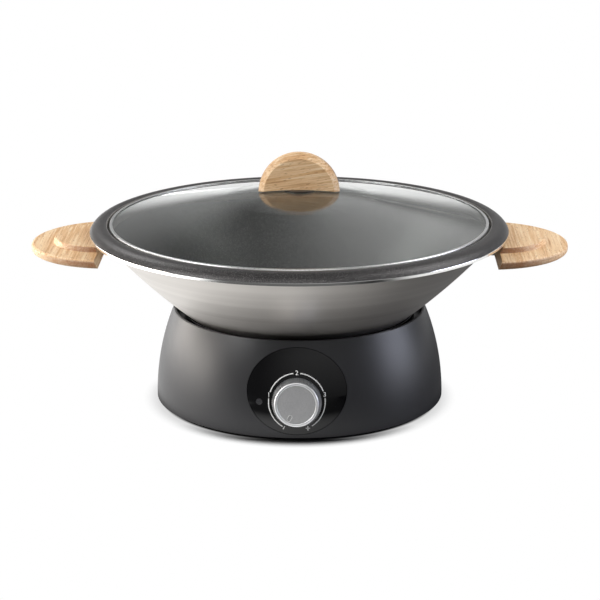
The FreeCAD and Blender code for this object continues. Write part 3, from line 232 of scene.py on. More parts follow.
def piano_black_acrylic():
    """Acrylic-faced ABS, polished mould: mirror black with the faint swirls of wiping."""
    made, tree, shader, place = blank("piano_black_acrylic", IOR=1.49)
    swirl = add(tree, "TexNoise", {"Vector": place, "Scale": per(9), "Detail": 7.0,
                                   "Distortion": 1.5})
    tone = add(tree, "Mix", {"Factor": swirl, "A": srgb("#060608"), "B": srgb("#09090b")},
               data_type="RGBA")
    rough = add(tree, "MapRange", {"Value": swirl, "From Min": 0.35, "From Max": 0.7,
                                   "To Min": 0.035, "To Max": 0.075})
    tree.links.new(tone, shader.inputs["Base Color"])
    tree.links.new(rough, shader.inputs["Roughness"])
    return made


def smoked_polycarbonate():
    """Smoked polycarbonate, moulded: a grey window, dark until the lamp behind it lights."""
    made, tree, shader, place = blank("smoked_polycarbonate", IOR=1.58)
    haze = add(tree, "TexNoise", {"Vector": place, "Scale": per(1.2), "Detail": 3.0})
    tone = add(tree, "Mix", {"Factor": haze, "A": srgb("#303033"), "B": srgb("#3d3d40")},
               data_type="RGBA")
    rough = add(tree, "MapRange", {"Value": haze, "To Min": 0.2, "To Max": 0.32})
    tree.links.new(tone, shader.inputs["Base Color"])
    tree.links.new(rough, shader.inputs["Roughness"])
    return made


def phenolic_switch_case():
    """Phenolic resin, compression moulded: brown-black, slightly mottled by its filler."""
    made, tree, shader, place = blank("phenolic_switch_case", IOR=1.6)
    filler = add(tree, "TexNoise", {"Vector": place, "Scale": per(1.0), "Detail": 6.0})
    tone = add(tree, "Mix", {"Factor": filler, "A": srgb("#1d1512"), "B": srgb("#33261f")},
               data_type="RGBA")
    rough = add(tree, "MapRange", {"Value": filler, "To Min": 0.35, "To Max": 0.5})
    tree.links.new(tone, shader.inputs["Base Color"])
    tree.links.new(rough, shader.inputs["Roughness"])
    return made


def silicone_pad_painted_shade():
    """Translucent silicone, moulded: soft-edged and slightly tacky looking. Its dark smoky
    tone is painted shade, for the dark line under the lid's knob.
    """
    made, tree, shader, place = blank("silicone_pad_painted_shade", IOR=1.41, Transmission_Weight=0.4)
    cloud = add(tree, "TexNoise", {"Vector": place, "Scale": per(2.0), "Detail": 3.0})
    # painted shade: the pad is toned dark so that it reads as the shadow under the lid's knob
    tone = add(tree, "Mix", {"Factor": cloud, "A": srgb("#35322f"), "B": srgb("#464340")},
               data_type="RGBA")
    rough = add(tree, "MapRange", {"Value": cloud, "To Min": 0.35, "To Max": 0.5})
    tree.links.new(tone, shader.inputs["Base Color"])
    tree.links.new(rough, shader.inputs["Roughness"])
    return made


# ------------------------------------------------------------------ metals
def sheet_metal(name, dark, light, rough_low, rough_high, size, relief_depth, stretch):
    """Metal whose tone and gloss drift over patches of a given size, in millimetres."""
    made, tree, shader, place = blank(name, Metallic=1.0)
    drawn = add(tree, "Mapping", {"Vector": place, "Scale": stretch})
    patch = add(tree, "TexNoise", {"Vector": drawn, "Scale": per(size), "Detail": 5.0})
    tone = add(tree, "Mix", {"Factor": patch, "A": srgb(dark), "B": srgb(light)},
               data_type="RGBA")
    rough = add(tree, "MapRange", {"Value": patch, "From Min": 0.3, "From Max": 0.7,
                                   "To Min": rough_low, "To Max": rough_high})
    relief = add(tree, "Bump", {"Height": patch, "Strength": 0.3,
                                "Distance": relief_depth * MM})
    tree.links.new(tone, shader.inputs["Base Color"])
    tree.links.new(rough, shader.inputs["Roughness"])
    tree.links.new(relief, shader.inputs["Normal"])
    return made


def zinc_plated_steel():
    """Steel, bright zinc plated: bluish grey with slightly cloudy passivation."""
    return sheet_metal("zinc_plated_steel", "#a9adb2", "#c9ccd0", 0.28, 0.45, 3.0, 0.02,
                       (1.0, 1.0, 1.0))


def aluminised_pressing():
    """Aluminised steel sheet, deep drawn: pale grey, dulled, with fine drawing streaks."""
    return sheet_metal("aluminised_pressing", "#9b9c9c", "#bebfbf", 0.32, 0.5, 5.0, 0.03,
                       (1.0, 1.0, 0.25))


def blued_ring_steel():
    """Rolled steel, blued: dark and satin, with the faint waviness of the rolling."""
    return sheet_metal("blued_ring_steel", "#2b2b2e", "#3b3b3f", 0.3, 0.4, 12.0, 0.02,
                       (1.0, 1.0, 1.0))


def polished_stainless_band():
    """Stainless strip, roll formed and polished: bright, with hairlines along the strip."""
    return sheet_metal("polished_stainless_band", "#dcdddd", "#e9e9e8", 0.26, 0.36, 2.0, 0.01,
                       (1.0, 1.0, 6.0))


def heat_tinted_sheath():
    """Nickel alloy tube, bright drawn then baked: grey-green with straw heat tinting."""
    return sheet_metal("heat_tinted_sheath", "#4d4e48", "#6d6350", 0.38, 0.55, 14.0, 0.03,
                       (1.0, 1.0, 1.0))


def tinned_fuse_can():
    """Tinned copper can, drawn: soft silver with small dull patches."""
    return sheet_metal("tinned_fuse_can", "#b9b6ae", "#d2d0c9", 0.25, 0.4, 2.0, 0.01,
                       (1.0, 1.0, 1.0))


def turned_brass():
    """Free-cutting brass, turned: yellow, with fine turning marks round the axis."""
    return sheet_metal("turned_brass", "#b08a45", "#cfaa62", 0.22, 0.35, 0.6, 0.02,
                       (0.1, 0.1, 1.0))


def chrome_trim():
    """ABS, satin chrome plated: bright, with soft-edged highlights all round the ring."""
    return sheet_metal("chrome_trim", "#f1f2f3", "#f8f9fa", 0.34, 0.42, 4.0, 0.005,
                       (1.0, 1.0, 1.0))


def silvered_knob_abs():
    """ABS, vacuum metallised and lacquered: satin silver on the ribbed skirt."""
    return sheet_metal("silvered_knob_abs", "#d0d1d3", "#e0e1e3", 0.3, 0.38, 1.2, 0.01,
                       (1.0, 1.0, 1.0))


def flake_lacquered_face():
    """ABS disc, sprayed with aluminium-flake lacquer: even silver grey, fine sparkle."""
    made, tree, shader, place = blank("flake_lacquered_face", Metallic=0.55, IOR=1.5)
    # flakes of 0.05 mm are too fine to show, so the sparkle is drawn at 0.5 mm
    flake = add(tree, "TexNoise", {"Vector": place, "Scale": per(0.5), "Detail": 2.0})
    cloud = add(tree, "TexNoise", {"Vector": place, "Scale": per(7), "Detail": 3.0})
    base = add(tree, "Mix", {"Factor": cloud, "A": srgb("#b0b0b1"), "B": srgb("#bcbcbd")},
               data_type="RGBA")
    tone = add(tree, "Mix", {"Factor": 0.35, "A": base, "B": flake},
               data_type="RGBA", blend_type="OVERLAY")
    rough = add(tree, "MapRange", {"Value": flake, "To Min": 0.42, "To Max": 0.58})
    relief = add(tree, "Bump", {"Height": flake, "Strength": 0.35, "Distance": 0.03 * MM})
    tree.links.new(tone, shader.inputs["Base Color"])
    tree.links.new(rough, shader.inputs["Roughness"])
    tree.links.new(relief, shader.inputs["Normal"])
    return made


def coated_cast_aluminium():
    """Cast aluminium: satin turned outside, black stone-effect coating inside and on the
    flange, a painted highlight in a pale line along the flange's crest, and a bright rim that
    was faced off last."""
    made, tree, shader, place = blank("coated_cast_aluminium")
    up = add(tree, "SeparateXYZ", {"Vector": add(tree, "NewGeometry", take="Normal")}, take="Z")
    height = add(tree, "SeparateXYZ", {"Vector": place}).node.outputs["Z"]
    flat = add(tree, "VectorMath", {0: place, 1: (1.0, 1.0, 0.0)}, operation="MULTIPLY")
    radius = add(tree, "VectorMath", {0: flat}, take="Value", operation="LENGTH")
    coated = add(tree, "MapRange", {"Value": up, "From Min": 0.24, "From Max": 0.30})
    rim = add(tree, "MapRange", {"Value": radius, "From Min": RIM_FACED[0] * MM,
                                 "From Max": RIM_FACED[1] * MM})
    # painted highlight: a pale line along the flange's crest, where its rolled inner edge
    # catches the light
    off_crest = add(tree, "Math", {0: radius, 1: CREST_RADIUS * MM}, operation="SUBTRACT")
    off_crest = add(tree, "Math", {0: off_crest}, operation="ABSOLUTE")
    crest = add(tree, "MapRange", {"Value": off_crest, "From Min": CREST_FADE[0] * MM,
                                   "From Max": CREST_FADE[1] * MM, "To Min": 0.5,
                                   "To Max": 0.0})
    high = add(tree, "MapRange", {"Value": height, "From Min": CREST_HEIGHT[0] * MM,
                                  "From Max": CREST_HEIGHT[1] * MM})
    crest = add(tree, "Math", {0: crest, 1: high}, operation="MULTIPLY")
    # fine specks of 0.3 mm, drawn at 0.8 mm so that they show
    speck_noise = add(tree, "TexNoise", {"Vector": place, "Scale": per(0.8), "Detail": 2.0})
    speck = add(tree, "MapRange", {"Value": speck_noise, "From Min": 0.5, "From Max": 0.72})
    mottle = add(tree, "TexNoise", {"Vector": place, "Scale": per(2.6), "Detail": 4.0})
    stone = add(tree, "Mix", {"Factor": mottle, "A": srgb("#2b2a2a"), "B": srgb("#3e3c3c")},
                data_type="RGBA")
    stone = add(tree, "Mix", {"Factor": speck, "A": stone, "B": srgb("#6d6a69")},
                data_type="RGBA")
    stone = add(tree, "Mix", {"Factor": crest, "A": stone, "B": srgb("#b4b0ac")},
                data_type="RGBA")
    # turning marks: rings about 0.7 mm apart, read off radius and height together
    ring_place = add(tree, "CombineXYZ", {"X": radius, "Y": height, "Z": 0.0})
    turned = add(tree, "TexNoise", {"Vector": ring_place, "Scale": per(0.7), "Detail": 3.0})
    band = add(tree, "TexNoise", {"Vector": ring_place, "Scale": per(9), "Detail": 2.0})
    bare = add(tree, "Mix", {"Factor": band, "A": srgb("#b6b2ad"), "B": srgb("#d9d5d0")},
               data_type="RGBA")
    bare = add(tree, "Mix", {"Factor": rim, "A": bare, "B": srgb("#eeeeec")},
               data_type="RGBA")
    bare_rough = add(tree, "MapRange", {"Value": turned, "From Min": 0.3, "From Max": 0.7,
                                        "To Min": 0.4, "To Max": 0.48})
    bare_rough = add(tree, "Mix", {"Factor": rim, "A": bare_rough, "B": 0.14})
    stone_rough = add(tree, "MapRange", {"Value": speck_noise, "To Min": 0.36, "To Max": 0.5})
    tone = add(tree, "Mix", {"Factor": coated, "A": bare, "B": stone}, data_type="RGBA")
    rough = add(tree, "Mix", {"Factor": coated, "A": bare_rough, "B": stone_rough})
    metal = add(tree, "MapRange", {"Value": coated, "To Min": 1.0, "To Max": 0.45})
    bare_relief = add(tree, "Bump", {"Height": turned, "Strength": 0.3,
                                     "Distance": 0.02 * MM})
    stone_relief = add(tree, "Bump", {"Height": speck_noise, "Strength": 0.9,
                                      "Distance": 0.1 * MM})
    relief = add(tree, "Mix", {"Factor": coated, "A": bare_relief, "B": stone_relief},
                 data_type="VECTOR")
    tree.links.new(tone, shader.inputs["Base Color"])
    tree.links.new(rough, shader.inputs["Roughness"])
    tree.links.new(metal, shader.inputs["Metallic"])
    tree.links.new(relief, shader.inputs["Normal"])
    return made


# ------------------------------------------------------------------ wood, glass, ceramic
def oiled_beech(name, turn):
    """Steamed beech, milled, sanded and oiled: warm straw, straight fibres in lighter and
    darker lines, faint growth bands, the short brown flecks of the rays, and browner faces
    across the grain, partly end grain and partly painted shade. The grain runs along Y, turned."""
    made, tree, shader, place = blank(name, IOR=1.5)
    along = add(tree, "Mapping", {"Vector": place, "Rotation": turn})
    band_place = add(tree, "Mapping", {"Vector": along, "Scale": (1.0, 0.05, 1.0)})
    band = add(tree, "TexNoise", {"Vector": band_place, "Scale": per(9), "Detail": 3.0,
                                  "Distortion": 0.4})
    # fibres of 0.3 mm, drawn about 1 mm apart so that they show
    fibre_place = add(tree, "Mapping", {"Vector": along, "Scale": (1.0, 0.03, 1.0)})
    fibre = add(tree, "TexNoise", {"Vector": fibre_place, "Scale": per(1.5), "Detail": 4.0,
                                   "Roughness": 0.65})
    fleck_place = add(tree, "Mapping", {"Vector": along, "Scale": (1.0, 0.2, 1.0)})
    fleck_noise = add(tree, "TexNoise", {"Vector": fleck_place, "Scale": per(0.9),
                                         "Detail": 1.0})
    band = add(tree, "MapRange", {"Value": band, "From Min": 0.35, "From Max": 0.65})
    wood = add(tree, "Mix", {"Factor": band, "A": srgb("#d8aa77"), "B": srgb("#ecca9f")},
               data_type="RGBA")
    pale = add(tree, "MapRange", {"Value": fibre, "From Min": 0.5, "From Max": 0.66,
                                  "To Max": 0.75})
    wood = add(tree, "Mix", {"Factor": pale, "A": wood, "B": srgb("#f8e2c0")},
               data_type="RGBA")
    dark = add(tree, "MapRange", {"Value": fibre, "From Min": 0.3, "From Max": 0.47,
                                  "To Min": 0.75, "To Max": 0.0})
    wood = add(tree, "Mix", {"Factor": dark, "A": wood, "B": srgb("#b27a48")},
               data_type="RGBA")
    fleck = add(tree, "MapRange", {"Value": fleck_noise, "From Min": 0.62, "From Max": 0.7,
                                   "To Max": 0.5})
    wood = add(tree, "Mix", {"Factor": fleck, "A": wood, "B": srgb("#935c33")},
               data_type="RGBA")
    # faces across the grain turn brown: partly end grain drinking the oil,
    # partly painted shade on the handles' front sides and step walls
    facing = add(tree, "Mapping", {"Vector": add(tree, "TexCoord", take="Normal"),
                                   "Rotation": turn}, vector_type="VECTOR")
    facing = add(tree, "SeparateXYZ", {"Vector": facing}).node.outputs["Y"]
    facing = add(tree, "Math", {0: facing}, operation="ABSOLUTE")
    end_grain_and_shade = add(tree, "MapRange", {"Value": facing, "From Min": 0.5, "From Max": 0.95,
                                       "To Max": 0.75})
    wood = add(tree, "Mix", {"Factor": end_grain_and_shade, "A": wood, "B": srgb("#74401f")},
               data_type="RGBA")
    rough = add(tree, "MapRange", {"Value": fibre, "To Min": 0.4, "To Max": 0.58})
    relief = add(tree, "Bump", {"Height": fibre, "Strength": 0.35, "Distance": 0.08 * MM})
    tree.links.new(wood, shader.inputs["Base Color"])
    tree.links.new(rough, shader.inputs["Roughness"])
    tree.links.new(relief, shader.inputs["Normal"])
    return made


def toughened_soda_glass():
    """Soda-lime glass, bent and toughened: clear, with a breath of green and the faint
    roller waves of the furnace."""
    made, tree, shader, place = blank("toughened_soda_glass", IOR=1.52, Roughness=0.015,
                                      Transmission_Weight=1.0)
    wave = add(tree, "TexNoise", {"Vector": place, "Scale": per(45), "Detail": 1.0})
    tone = add(tree, "Mix", {"Factor": wave, "A": srgb("#f1f6f3"), "B": srgb("#f7faf8")},
               data_type="RGBA")
    relief = add(tree, "Bump", {"Height": wave, "Strength": 0.1, "Distance": 0.2 * MM})
    tree.links.new(tone, shader.inputs["Base Color"])
    tree.links.new(relief, shader.inputs["Normal"])
    return made


def lamp_glass_tube():
    """Neon lamp glass, drawn: thin and clear, slightly smoky at the electrodes."""
    made, tree, shader, place = blank("lamp_glass_tube", IOR=1.5, Roughness=0.05,
                                      Transmission_Weight=0.85)
    smoke = add(tree, "TexNoise", {"Vector": place, "Scale": per(4), "Detail": 2.0})
    tone = add(tree, "Mix", {"Factor": smoke, "A": srgb("#c9b8a8"), "B": srgb("#e9e2da")},
               data_type="RGBA")
    tree.links.new(tone, shader.inputs["Base Color"])
    return made


def pressed_steatite():
    """Steatite, dry pressed and fired: chalky off-white with tiny dark specks."""
    made, tree, shader, place = blank("pressed_steatite", IOR=1.6)
    body = add(tree, "TexNoise", {"Vector": place, "Scale": per(0.9), "Detail": 4.0})
    speck = add(tree, "MapRange", {"Value": body, "From Min": 0.66, "From Max": 0.74})
    tone = add(tree, "Mix", {"Factor": speck, "A": srgb("#e9e5da"), "B": srgb("#a79f90")},
               data_type="RGBA")
    rough = add(tree, "MapRange", {"Value": body, "To Min": 0.5, "To Max": 0.65})
    relief = add(tree, "Bump", {"Height": body, "Strength": 0.3, "Distance": 0.05 * MM})
    tree.links.new(tone, shader.inputs["Base Color"])
    tree.links.new(rough, shader.inputs["Roughness"])
    tree.links.new(relief, shader.inputs["Normal"])
    return made


def screened_ink():
    """White pad-printed ink: opaque, a little soft, minutely uneven in thickness."""
    made, tree, shader, place = blank("screened_ink", IOR=1.5)
    film = add(tree, "TexNoise", {"Vector": place, "Scale": per(0.6), "Detail": 3.0})
    tone = add(tree, "Mix", {"Factor": film, "A": srgb("#f2f2f0"), "B": srgb("#fdfdfc")},
               data_type="RGBA")
    rough = add(tree, "MapRange", {"Value": film, "To Min": 0.45, "To Max": 0.6})
    tree.links.new(tone, shader.inputs["Base Color"])
    tree.links.new(rough, shader.inputs["Roughness"])
    return made


# ------------------------------------------------------------------ finishes on the nodes
FINISHES = (
    (moulded_abs_satin(), ("base_housing",)),
    (glass_filled_nylon(), ("base_plate", "cord_gland", "gland_nut")),
    (moulded_silicone_rubber(), ("rubber_feet",)),
    (piano_black_acrylic(), ("control_panel",)),
    (smoked_polycarbonate(), ("indicator_lens",)),
    (lamp_glass_tube(), ("indicator_lamp",)),
    (phenolic_switch_case(), ("thermostat_body",)),
    (zinc_plated_steel(), ("base_plate_screws", "thermostat_nut", "thermostat_shaft",
                           "element_terminals", "ring_screws", "terminal_block_screw",
                           "handle_screws")),
    (aluminised_pressing(), ("heat_reflector", "element_supports", "fuse_clip")),
    (blued_ring_steel(), ("support_ring",)),
    (heat_tinted_sheath(), ("heating_element",)),
    (pressed_steatite(), ("element_bushings", "terminal_block")),
    (tinned_fuse_can(), ("thermal_fuse",)),
    (silvered_knob_abs(), ("control_knob",)),
    (chrome_trim(), ("knob_trim_ring",)),
    (flake_lacquered_face(), ("knob_face",)),
    (coated_cast_aluminium(), ("wok_bowl",)),
    (oiled_beech("oiled_beech_handles", (0.0, 0.0, 0.0)), ("left_handle", "right_handle")),
    (oiled_beech("oiled_beech_knob", (0.0, math.radians(8), math.radians(90))), ("lid_knob",)),
    (toughened_soda_glass(), ("lid_glass",)),
    (polished_stainless_band(), ("lid_rim", "lid_inner_washer", "lid_knob_screw")),
    (silicone_pad_painted_shade(), ("lid_knob_pad",)),
    (turned_brass(), ("lid_knob_insert",)),
)
for finish, nodes in FINISHES:
    for node in nodes:
        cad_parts[node].material_slots[0].material = finish


# ------------------------------------------------------------------ the dial's print
def kept(name, mesh_or_bmesh, finish):
    """A new object with its place in its mesh, and its finish."""
    if isinstance(mesh_or_bmesh, bmesh.types.BMesh):
        mesh = bpy.data.meshes.new(name)
        mesh_or_bmesh.to_mesh(mesh)
        mesh_or_bmesh.free()
    else:
        mesh = mesh_or_bmesh
    mesh.materials.clear()
    mesh.materials.append(finish)
    made = bpy.data.objects.new(name, mesh)
    bpy.context.scene.collection.objects.link(made)
    return made


def dial_point(angle, radius):
    """Flat place on the dial, at an angle clockwise from straight down."""
    turn = math.radians(angle)
    return Vector((-radius * math.sin(turn), -radius * math.cos(turn) - DIAL_DROP, 0))


def arc_line(work, start, stop):
    """One stretch of the dial's ring: a short radial edge spun round the knob's axis."""
    ends = [work.verts.new(dial_point(start, ARC_RADIUS + side * ARC_LINE / 2))
            for side in (-1, 1)]
    edge = work.edges.new(ends)
    bmesh.ops.spin(work, geom=[*ends, edge], cent=(0, -DIAL_DROP, 0), axis=(0, 0, 1),
                   angle=-math.radians(stop - start), steps=int((stop - start) / ARC_STEP))


def bar(work, centre, length, width, turn):
    """One straight printed stroke."""
    made = bmesh.ops.create_grid(work, x_segments=4, y_segments=1, size=0.5)["verts"]
    place = (Matrix.Translation(centre) @ Matrix.Rotation(math.radians(turn), 4, "Z")
             @ Matrix.Diagonal((length, width, 1, 1)))
    bmesh.ops.transform(work, matrix=place, verts=made)


def printed_ring():
    """The ring in four stretches, the off mark at its left end and the plus at its right."""
    work = bmesh.new()
    for start, stop in ARC_SPANS:
        arc_line(work, start, stop)
    off = dial_point(OFF_MARK_ANGLE, ARC_RADIUS) + OFF_MARK_SHIFT
    bar(work, off, OFF_MARK_LENGTH, ARC_LINE, OFF_MARK_TURN)
    plus = dial_point(PLUS_ANGLE, ARC_RADIUS)
    for turn in (0, 90):
        bar(work, plus, PLUS_LENGTH, PLUS_LINE, turn)
    return work


def printed_digit(text, angle):
    """One digit, upright, its middle on the dial's ring."""
    curve = bpy.data.curves.new("dial_digit", "FONT")
    curve.body = text
    curve.size = DIGIT_HEIGHT / CAPITAL_SHARE
    curve.align_x = "CENTER"
    curve.offset = DIGIT_SWELL
    writing = bpy.data.objects.new("dial_digit", curve)
    bpy.context.scene.collection.objects.link(writing)
    bpy.context.view_layer.update()
    mesh = bpy.data.meshes.new_from_object(writing)
    bpy.data.objects.remove(writing)
    bpy.data.curves.remove(curve)
    middle = sum((v.co for v in mesh.vertices), Vector()) / len(mesh.vertices)
    low = min(v.co.y for v in mesh.vertices)
    high = max(v.co.y for v in mesh.vertices)
    mesh.transform(Matrix.Translation(dial_point(angle, DIGIT_RADIUS)
                                      - Vector((middle.x, (low + high) / 2, 0))))
    return mesh


def onto_panel(piece):
    """Lays a flat print on the panel's curved face and gives it its thickness."""
    start = Matrix.Translation(PANEL_FRONT + PANEL_NORMAL * PRINT_START)
    piece.data.transform(start @ TO_PANEL)
    lay = piece.modifiers.new("lay", "SHRINKWRAP")
    lay.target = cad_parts["control_panel"]
    lay.wrap_method = "NEAREST_SURFACEPOINT"
    lay.wrap_mode = "ABOVE_SURFACE"
    lay.offset = PRINT_LIFT
    wall = piece.modifiers.new("wall", "SOLIDIFY")
    wall.thickness = PRINT_THICKNESS
    wall.offset = 1
    bpy.context.view_layer.update()
    seen = piece.evaluated_get(bpy.context.evaluated_depsgraph_get())
    mesh = bpy.data.meshes.new_from_object(seen)
    piece.modifiers.clear()
    piece.data = mesh
    return piece


INK = screened_ink()
prints = [kept("dial_ring_print", printed_ring(), INK)]
for text, angle in DIGITS:
    prints.append(kept(f"dial_digit_{text}", printed_digit(text, angle), INK))
for piece in prints:
    onto_panel(piece)
    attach(piece, "base")


# ------------------------------------------------------------------ turned rings
def turned_ring(profile, steps):
    """A closed outline of (radius, height, rounding) corners, rounded and spun about Z."""
    work = bmesh.new()
    corners = [work.verts.new((radius * MM, 0, height * MM)) for radius, height, _ in profile]
    for index, corner in enumerate(corners):
        work.edges.new((corners[index - 1], corner))
    for corner, (_, _, bend) in zip(corners, profile):
        if bend:
            bmesh.ops.bevel(work, geom=[corner], offset=bend * MM, segments=ROUNDING_CUTS,
                            profile=0.5, affect="VERTICES", material=-1)
    bmesh.ops.spin(work, geom=work.verts[:] + work.edges[:], cent=(0, 0, 0), axis=(0, 0, 1),
                   angle=math.tau, steps=steps, use_merge=True)
    bmesh.ops.remove_doubles(work, verts=work.verts, dist=0.001 * MM)
    bmesh.ops.recalc_face_normals(work, faces=work.faces)
    for face in work.faces:
        face.smooth = True
    return work


def in_knob(work):
    """Moves a piece drawn about Z, off the panel's face, onto the knob's axis."""
    stand = Matrix.Translation(PANEL_FRONT - PANEL_UP * DIAL_DROP)
    bmesh.ops.transform(work, matrix=stand @ TO_PANEL, verts=work.verts)
    return work


BAND_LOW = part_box("lid_rim")[0][2] / MM
BAND_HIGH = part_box("lid_rim")[1][2] / MM
BAND_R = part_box("lid_rim")[1][0] / MM
BAND_IN = BAND_R - BAND_WIDTH
lid_band = kept("lid_band", turned_ring((
    (BAND_IN, BAND_LOW, 0), (BAND_R, BAND_LOW, 0.7), (BAND_R, BAND_HIGH, 0.9),
    (BAND_IN, BAND_HIGH, 0.25), (BAND_IN, BAND_HIGH - BAND_SHEET, 0),
    (BAND_R - BAND_SHEET, BAND_HIGH - BAND_SHEET, 0.2),
    (BAND_R - BAND_SHEET, BAND_LOW + BAND_SHEET, 0.2), (BAND_IN, BAND_LOW + BAND_SHEET, 0)),
    BAND_STEPS), polished_stainless_band())
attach(lid_band, "lid")
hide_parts("lid_rim")

knob_ring = kept("knob_ring", in_knob(turned_ring((
    (TRIM_IN, TRIM_LOW, 0), (TRIM_OUT, TRIM_LOW, 0), (TRIM_OUT, TRIM_HIGH, 0.9),
    (TRIM_IN, TRIM_HIGH, 0.7)), TRIM_STEPS)), chrome_trim())
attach(knob_ring, "knob")
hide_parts("knob_trim_ring")


def pointer_rim_highlight():
    """White line round the pressed slot of the knob's face: a painted highlight, for the light
    that catches the slot's rim.
    """
    work = bmesh.new()
    half = POINTER_LENGTH / 2 - POINTER_WIDTH / 2
    steps = 180 // POINTER_STEP
    sides = []
    for reach in (POINTER_WIDTH / 2, POINTER_WIDTH / 2 + POINTER_LINE):
        loop = []
        for end in (-1, 1):
            for step in range(steps + 1):
                turn = math.radians(end * 90 - 90 + step * POINTER_STEP)
                loop.append(work.verts.new((reach * math.cos(turn),
                                            end * half + reach * math.sin(turn), 0)))
        sides.append([work.edges.new((loop[i - 1], loop[i])) for i in range(len(loop))])
    bmesh.ops.bridge_loops(work, edges=sides[0] + sides[1])
    bmesh.ops.solidify(work, geom=work.faces[:], thickness=PRINT_THICKNESS)
    bmesh.ops.recalc_face_normals(work, faces=work.faces)
    return work


# painted highlight: white ink round the pointer's slot, standing for the light on its rim
mark = pointer_rim_highlight()
bmesh.ops.transform(mark, verts=mark.verts, matrix=(
    Matrix.Rotation(-math.radians(OFF_MARK_ANGLE), 4, "Z")
    @ Matrix.Translation((0, -POINTER_REACH, FACE_HEIGHT + PRINT_LIFT))))
knob_slot_highlight = kept("knob_slot_highlight", in_knob(mark), INK)
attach(knob_slot_highlight, "knob")


# ------------------------------------------------------------------ floor, light, camera
def rays(tree):
    """Which rays come from the eye, straight or through clear glass, and which from gloss or
    glass of any kind."""
    path = add(tree, "LightPath").node
    bounced = add(tree, "Math", {0: path.outputs["Glossy Depth"],
                                 1: path.outputs["Diffuse Depth"]}, operation="ADD")
    straight = add(tree, "Math", {0: bounced, 1: 0.5}, operation="LESS_THAN")
    through = add(tree, "Math", {0: path.outputs["Is Transmission Ray"], 1: straight},
                  operation="MULTIPLY")
    eye = add(tree, "Math", {0: path.outputs["Is Camera Ray"], 1: through},
              operation="MAXIMUM")
    mirrored = add(tree, "Math", {0: path.outputs["Is Glossy Ray"],
                                  1: path.outputs["Is Transmission Ray"]}, operation="MAXIMUM")
    return eye, mirrored


def pale_floor():
    """Seamless satin paper: white to the eye, and close under the object it takes a painted
    shadow and a blurred reflection. Gloss and glass see a painted glow on it, bright on the
    left and far off, dimmer towards the right and the front, and dark where the foot meets it."""
    made, tree, shader, place = blank("pale_floor")
    tree.nodes.remove(shader)
    fibre = add(tree, "TexNoise", {"Vector": place, "Scale": per(3), "Detail": 3.0})
    tone = add(tree, "Mix", {"Factor": fibre, "A": srgb("#808080"), "B": srgb("#868686")},
               data_type="RGBA")
    lit = add(tree, "BsdfDiffuse", {"Color": tone})
    satin = add(tree, "BsdfAnisotropic", {"Color": srgb("#8c8c90"), "Roughness": 0.35})
    white = add(tree, "Emission", {"Color": srgb("#ffffff"), "Strength": 1.0})
    opening = add(tree, "AmbientOcclusion", {"Distance": CREVICE}, take="AO", samples=12)
    near = add(tree, "MapRange", {"Value": opening, "From Min": 0.6, "From Max": 0.97,
                                  "To Min": 1.0, "To Max": 0.0})
    spot = add(tree, "SeparateXYZ", {"Vector": place}).node
    # painted shadow: deepest in front and right under the foot, set by depth and by distance
    # from the axis
    shaded = add(tree, "MapRange", {"Value": spot.outputs["Y"], "From Min": SHADOW_FRONT[0],
                                    "From Max": SHADOW_FRONT[1], "To Min": 0.3,
                                    "To Max": 1.0})
    reach = add(tree, "VectorMath", {0: place}, take="Value", operation="LENGTH")
    under = add(tree, "MapRange", {"Value": reach, "From Min": FOOT_INSIDE[0],
                                   "From Max": FOOT_INSIDE[1]})
    shaded = add(tree, "Math", {0: shaded, 1: under}, operation="MAXIMUM")
    near = add(tree, "Math", {0: near, 1: shaded}, operation="MULTIPLY")
    shadow = add(tree, "MixShader", {0: 0.25, 1: satin, 2: lit})
    to_eye = add(tree, "MixShader", {0: near, 1: white, 2: shadow})
    # painted glow: the floor emits for gloss and glass, bright on the left and far off, dim in
    # front
    slope = add(tree, "VectorMath", {0: place, 1: FLOOR_BRIGHT_WAY}, take="Value",
                operation="DOT_PRODUCT")
    glow = add(tree, "MapRange", {"Value": slope, "From Min": GLOW_SLOPE[0],
                                  "From Max": GLOW_SLOPE[1], "To Min": 0.14,
                                  "To Max": 1.38}, interpolation_type="SMOOTHSTEP")
    ahead = add(tree, "MapRange", {"Value": spot.outputs["Y"], "From Min": GLOW_AHEAD[0],
                                   "From Max": GLOW_AHEAD[1], "To Min": 0.1,
                                   "To Max": 1.0}, interpolation_type="SMOOTHSTEP")
    glow = add(tree, "Math", {0: glow, 1: ahead}, operation="MULTIPLY")
    within = add(tree, "MapRange", {"Value": spot.outputs["Y"], "From Min": SIDES_BEGIN[0],
                                    "From Max": SIDES_BEGIN[1]})
    for axis, start, stop, strength in PALE_SIDES:
        side = add(tree, "MapRange", {"Value": spot.outputs[axis], "From Min": start,
                                      "From Max": stop, "To Max": strength})
        side = add(tree, "Math", {0: side, 1: within}, operation="MULTIPLY")
        glow = add(tree, "Math", {0: glow, 1: side}, operation="MAXIMUM")
    # painted shade in that glow, dark where the foot meets the floor
    contact = add(tree, "MapRange", {"Value": reach, "From Min": FOOT_CONTACT[0],
                                     "From Max": FOOT_CONTACT[1], "To Min": 0.04,
                                     "To Max": 1.0})
    glow = add(tree, "Math", {0: glow, 1: contact}, operation="MULTIPLY")
    to_gloss = add(tree, "Emission", {"Color": srgb("#ffffff"), "Strength": glow})
    eye, mirrored = rays(tree)
    surface = add(tree, "MixShader", {0: mirrored, 1: lit, 2: to_gloss})
    surface = add(tree, "MixShader", {0: eye, 1: surface, 2: to_eye})
    tree.links.new(surface, tree.nodes["Material Output"].inputs["Surface"])
    return made


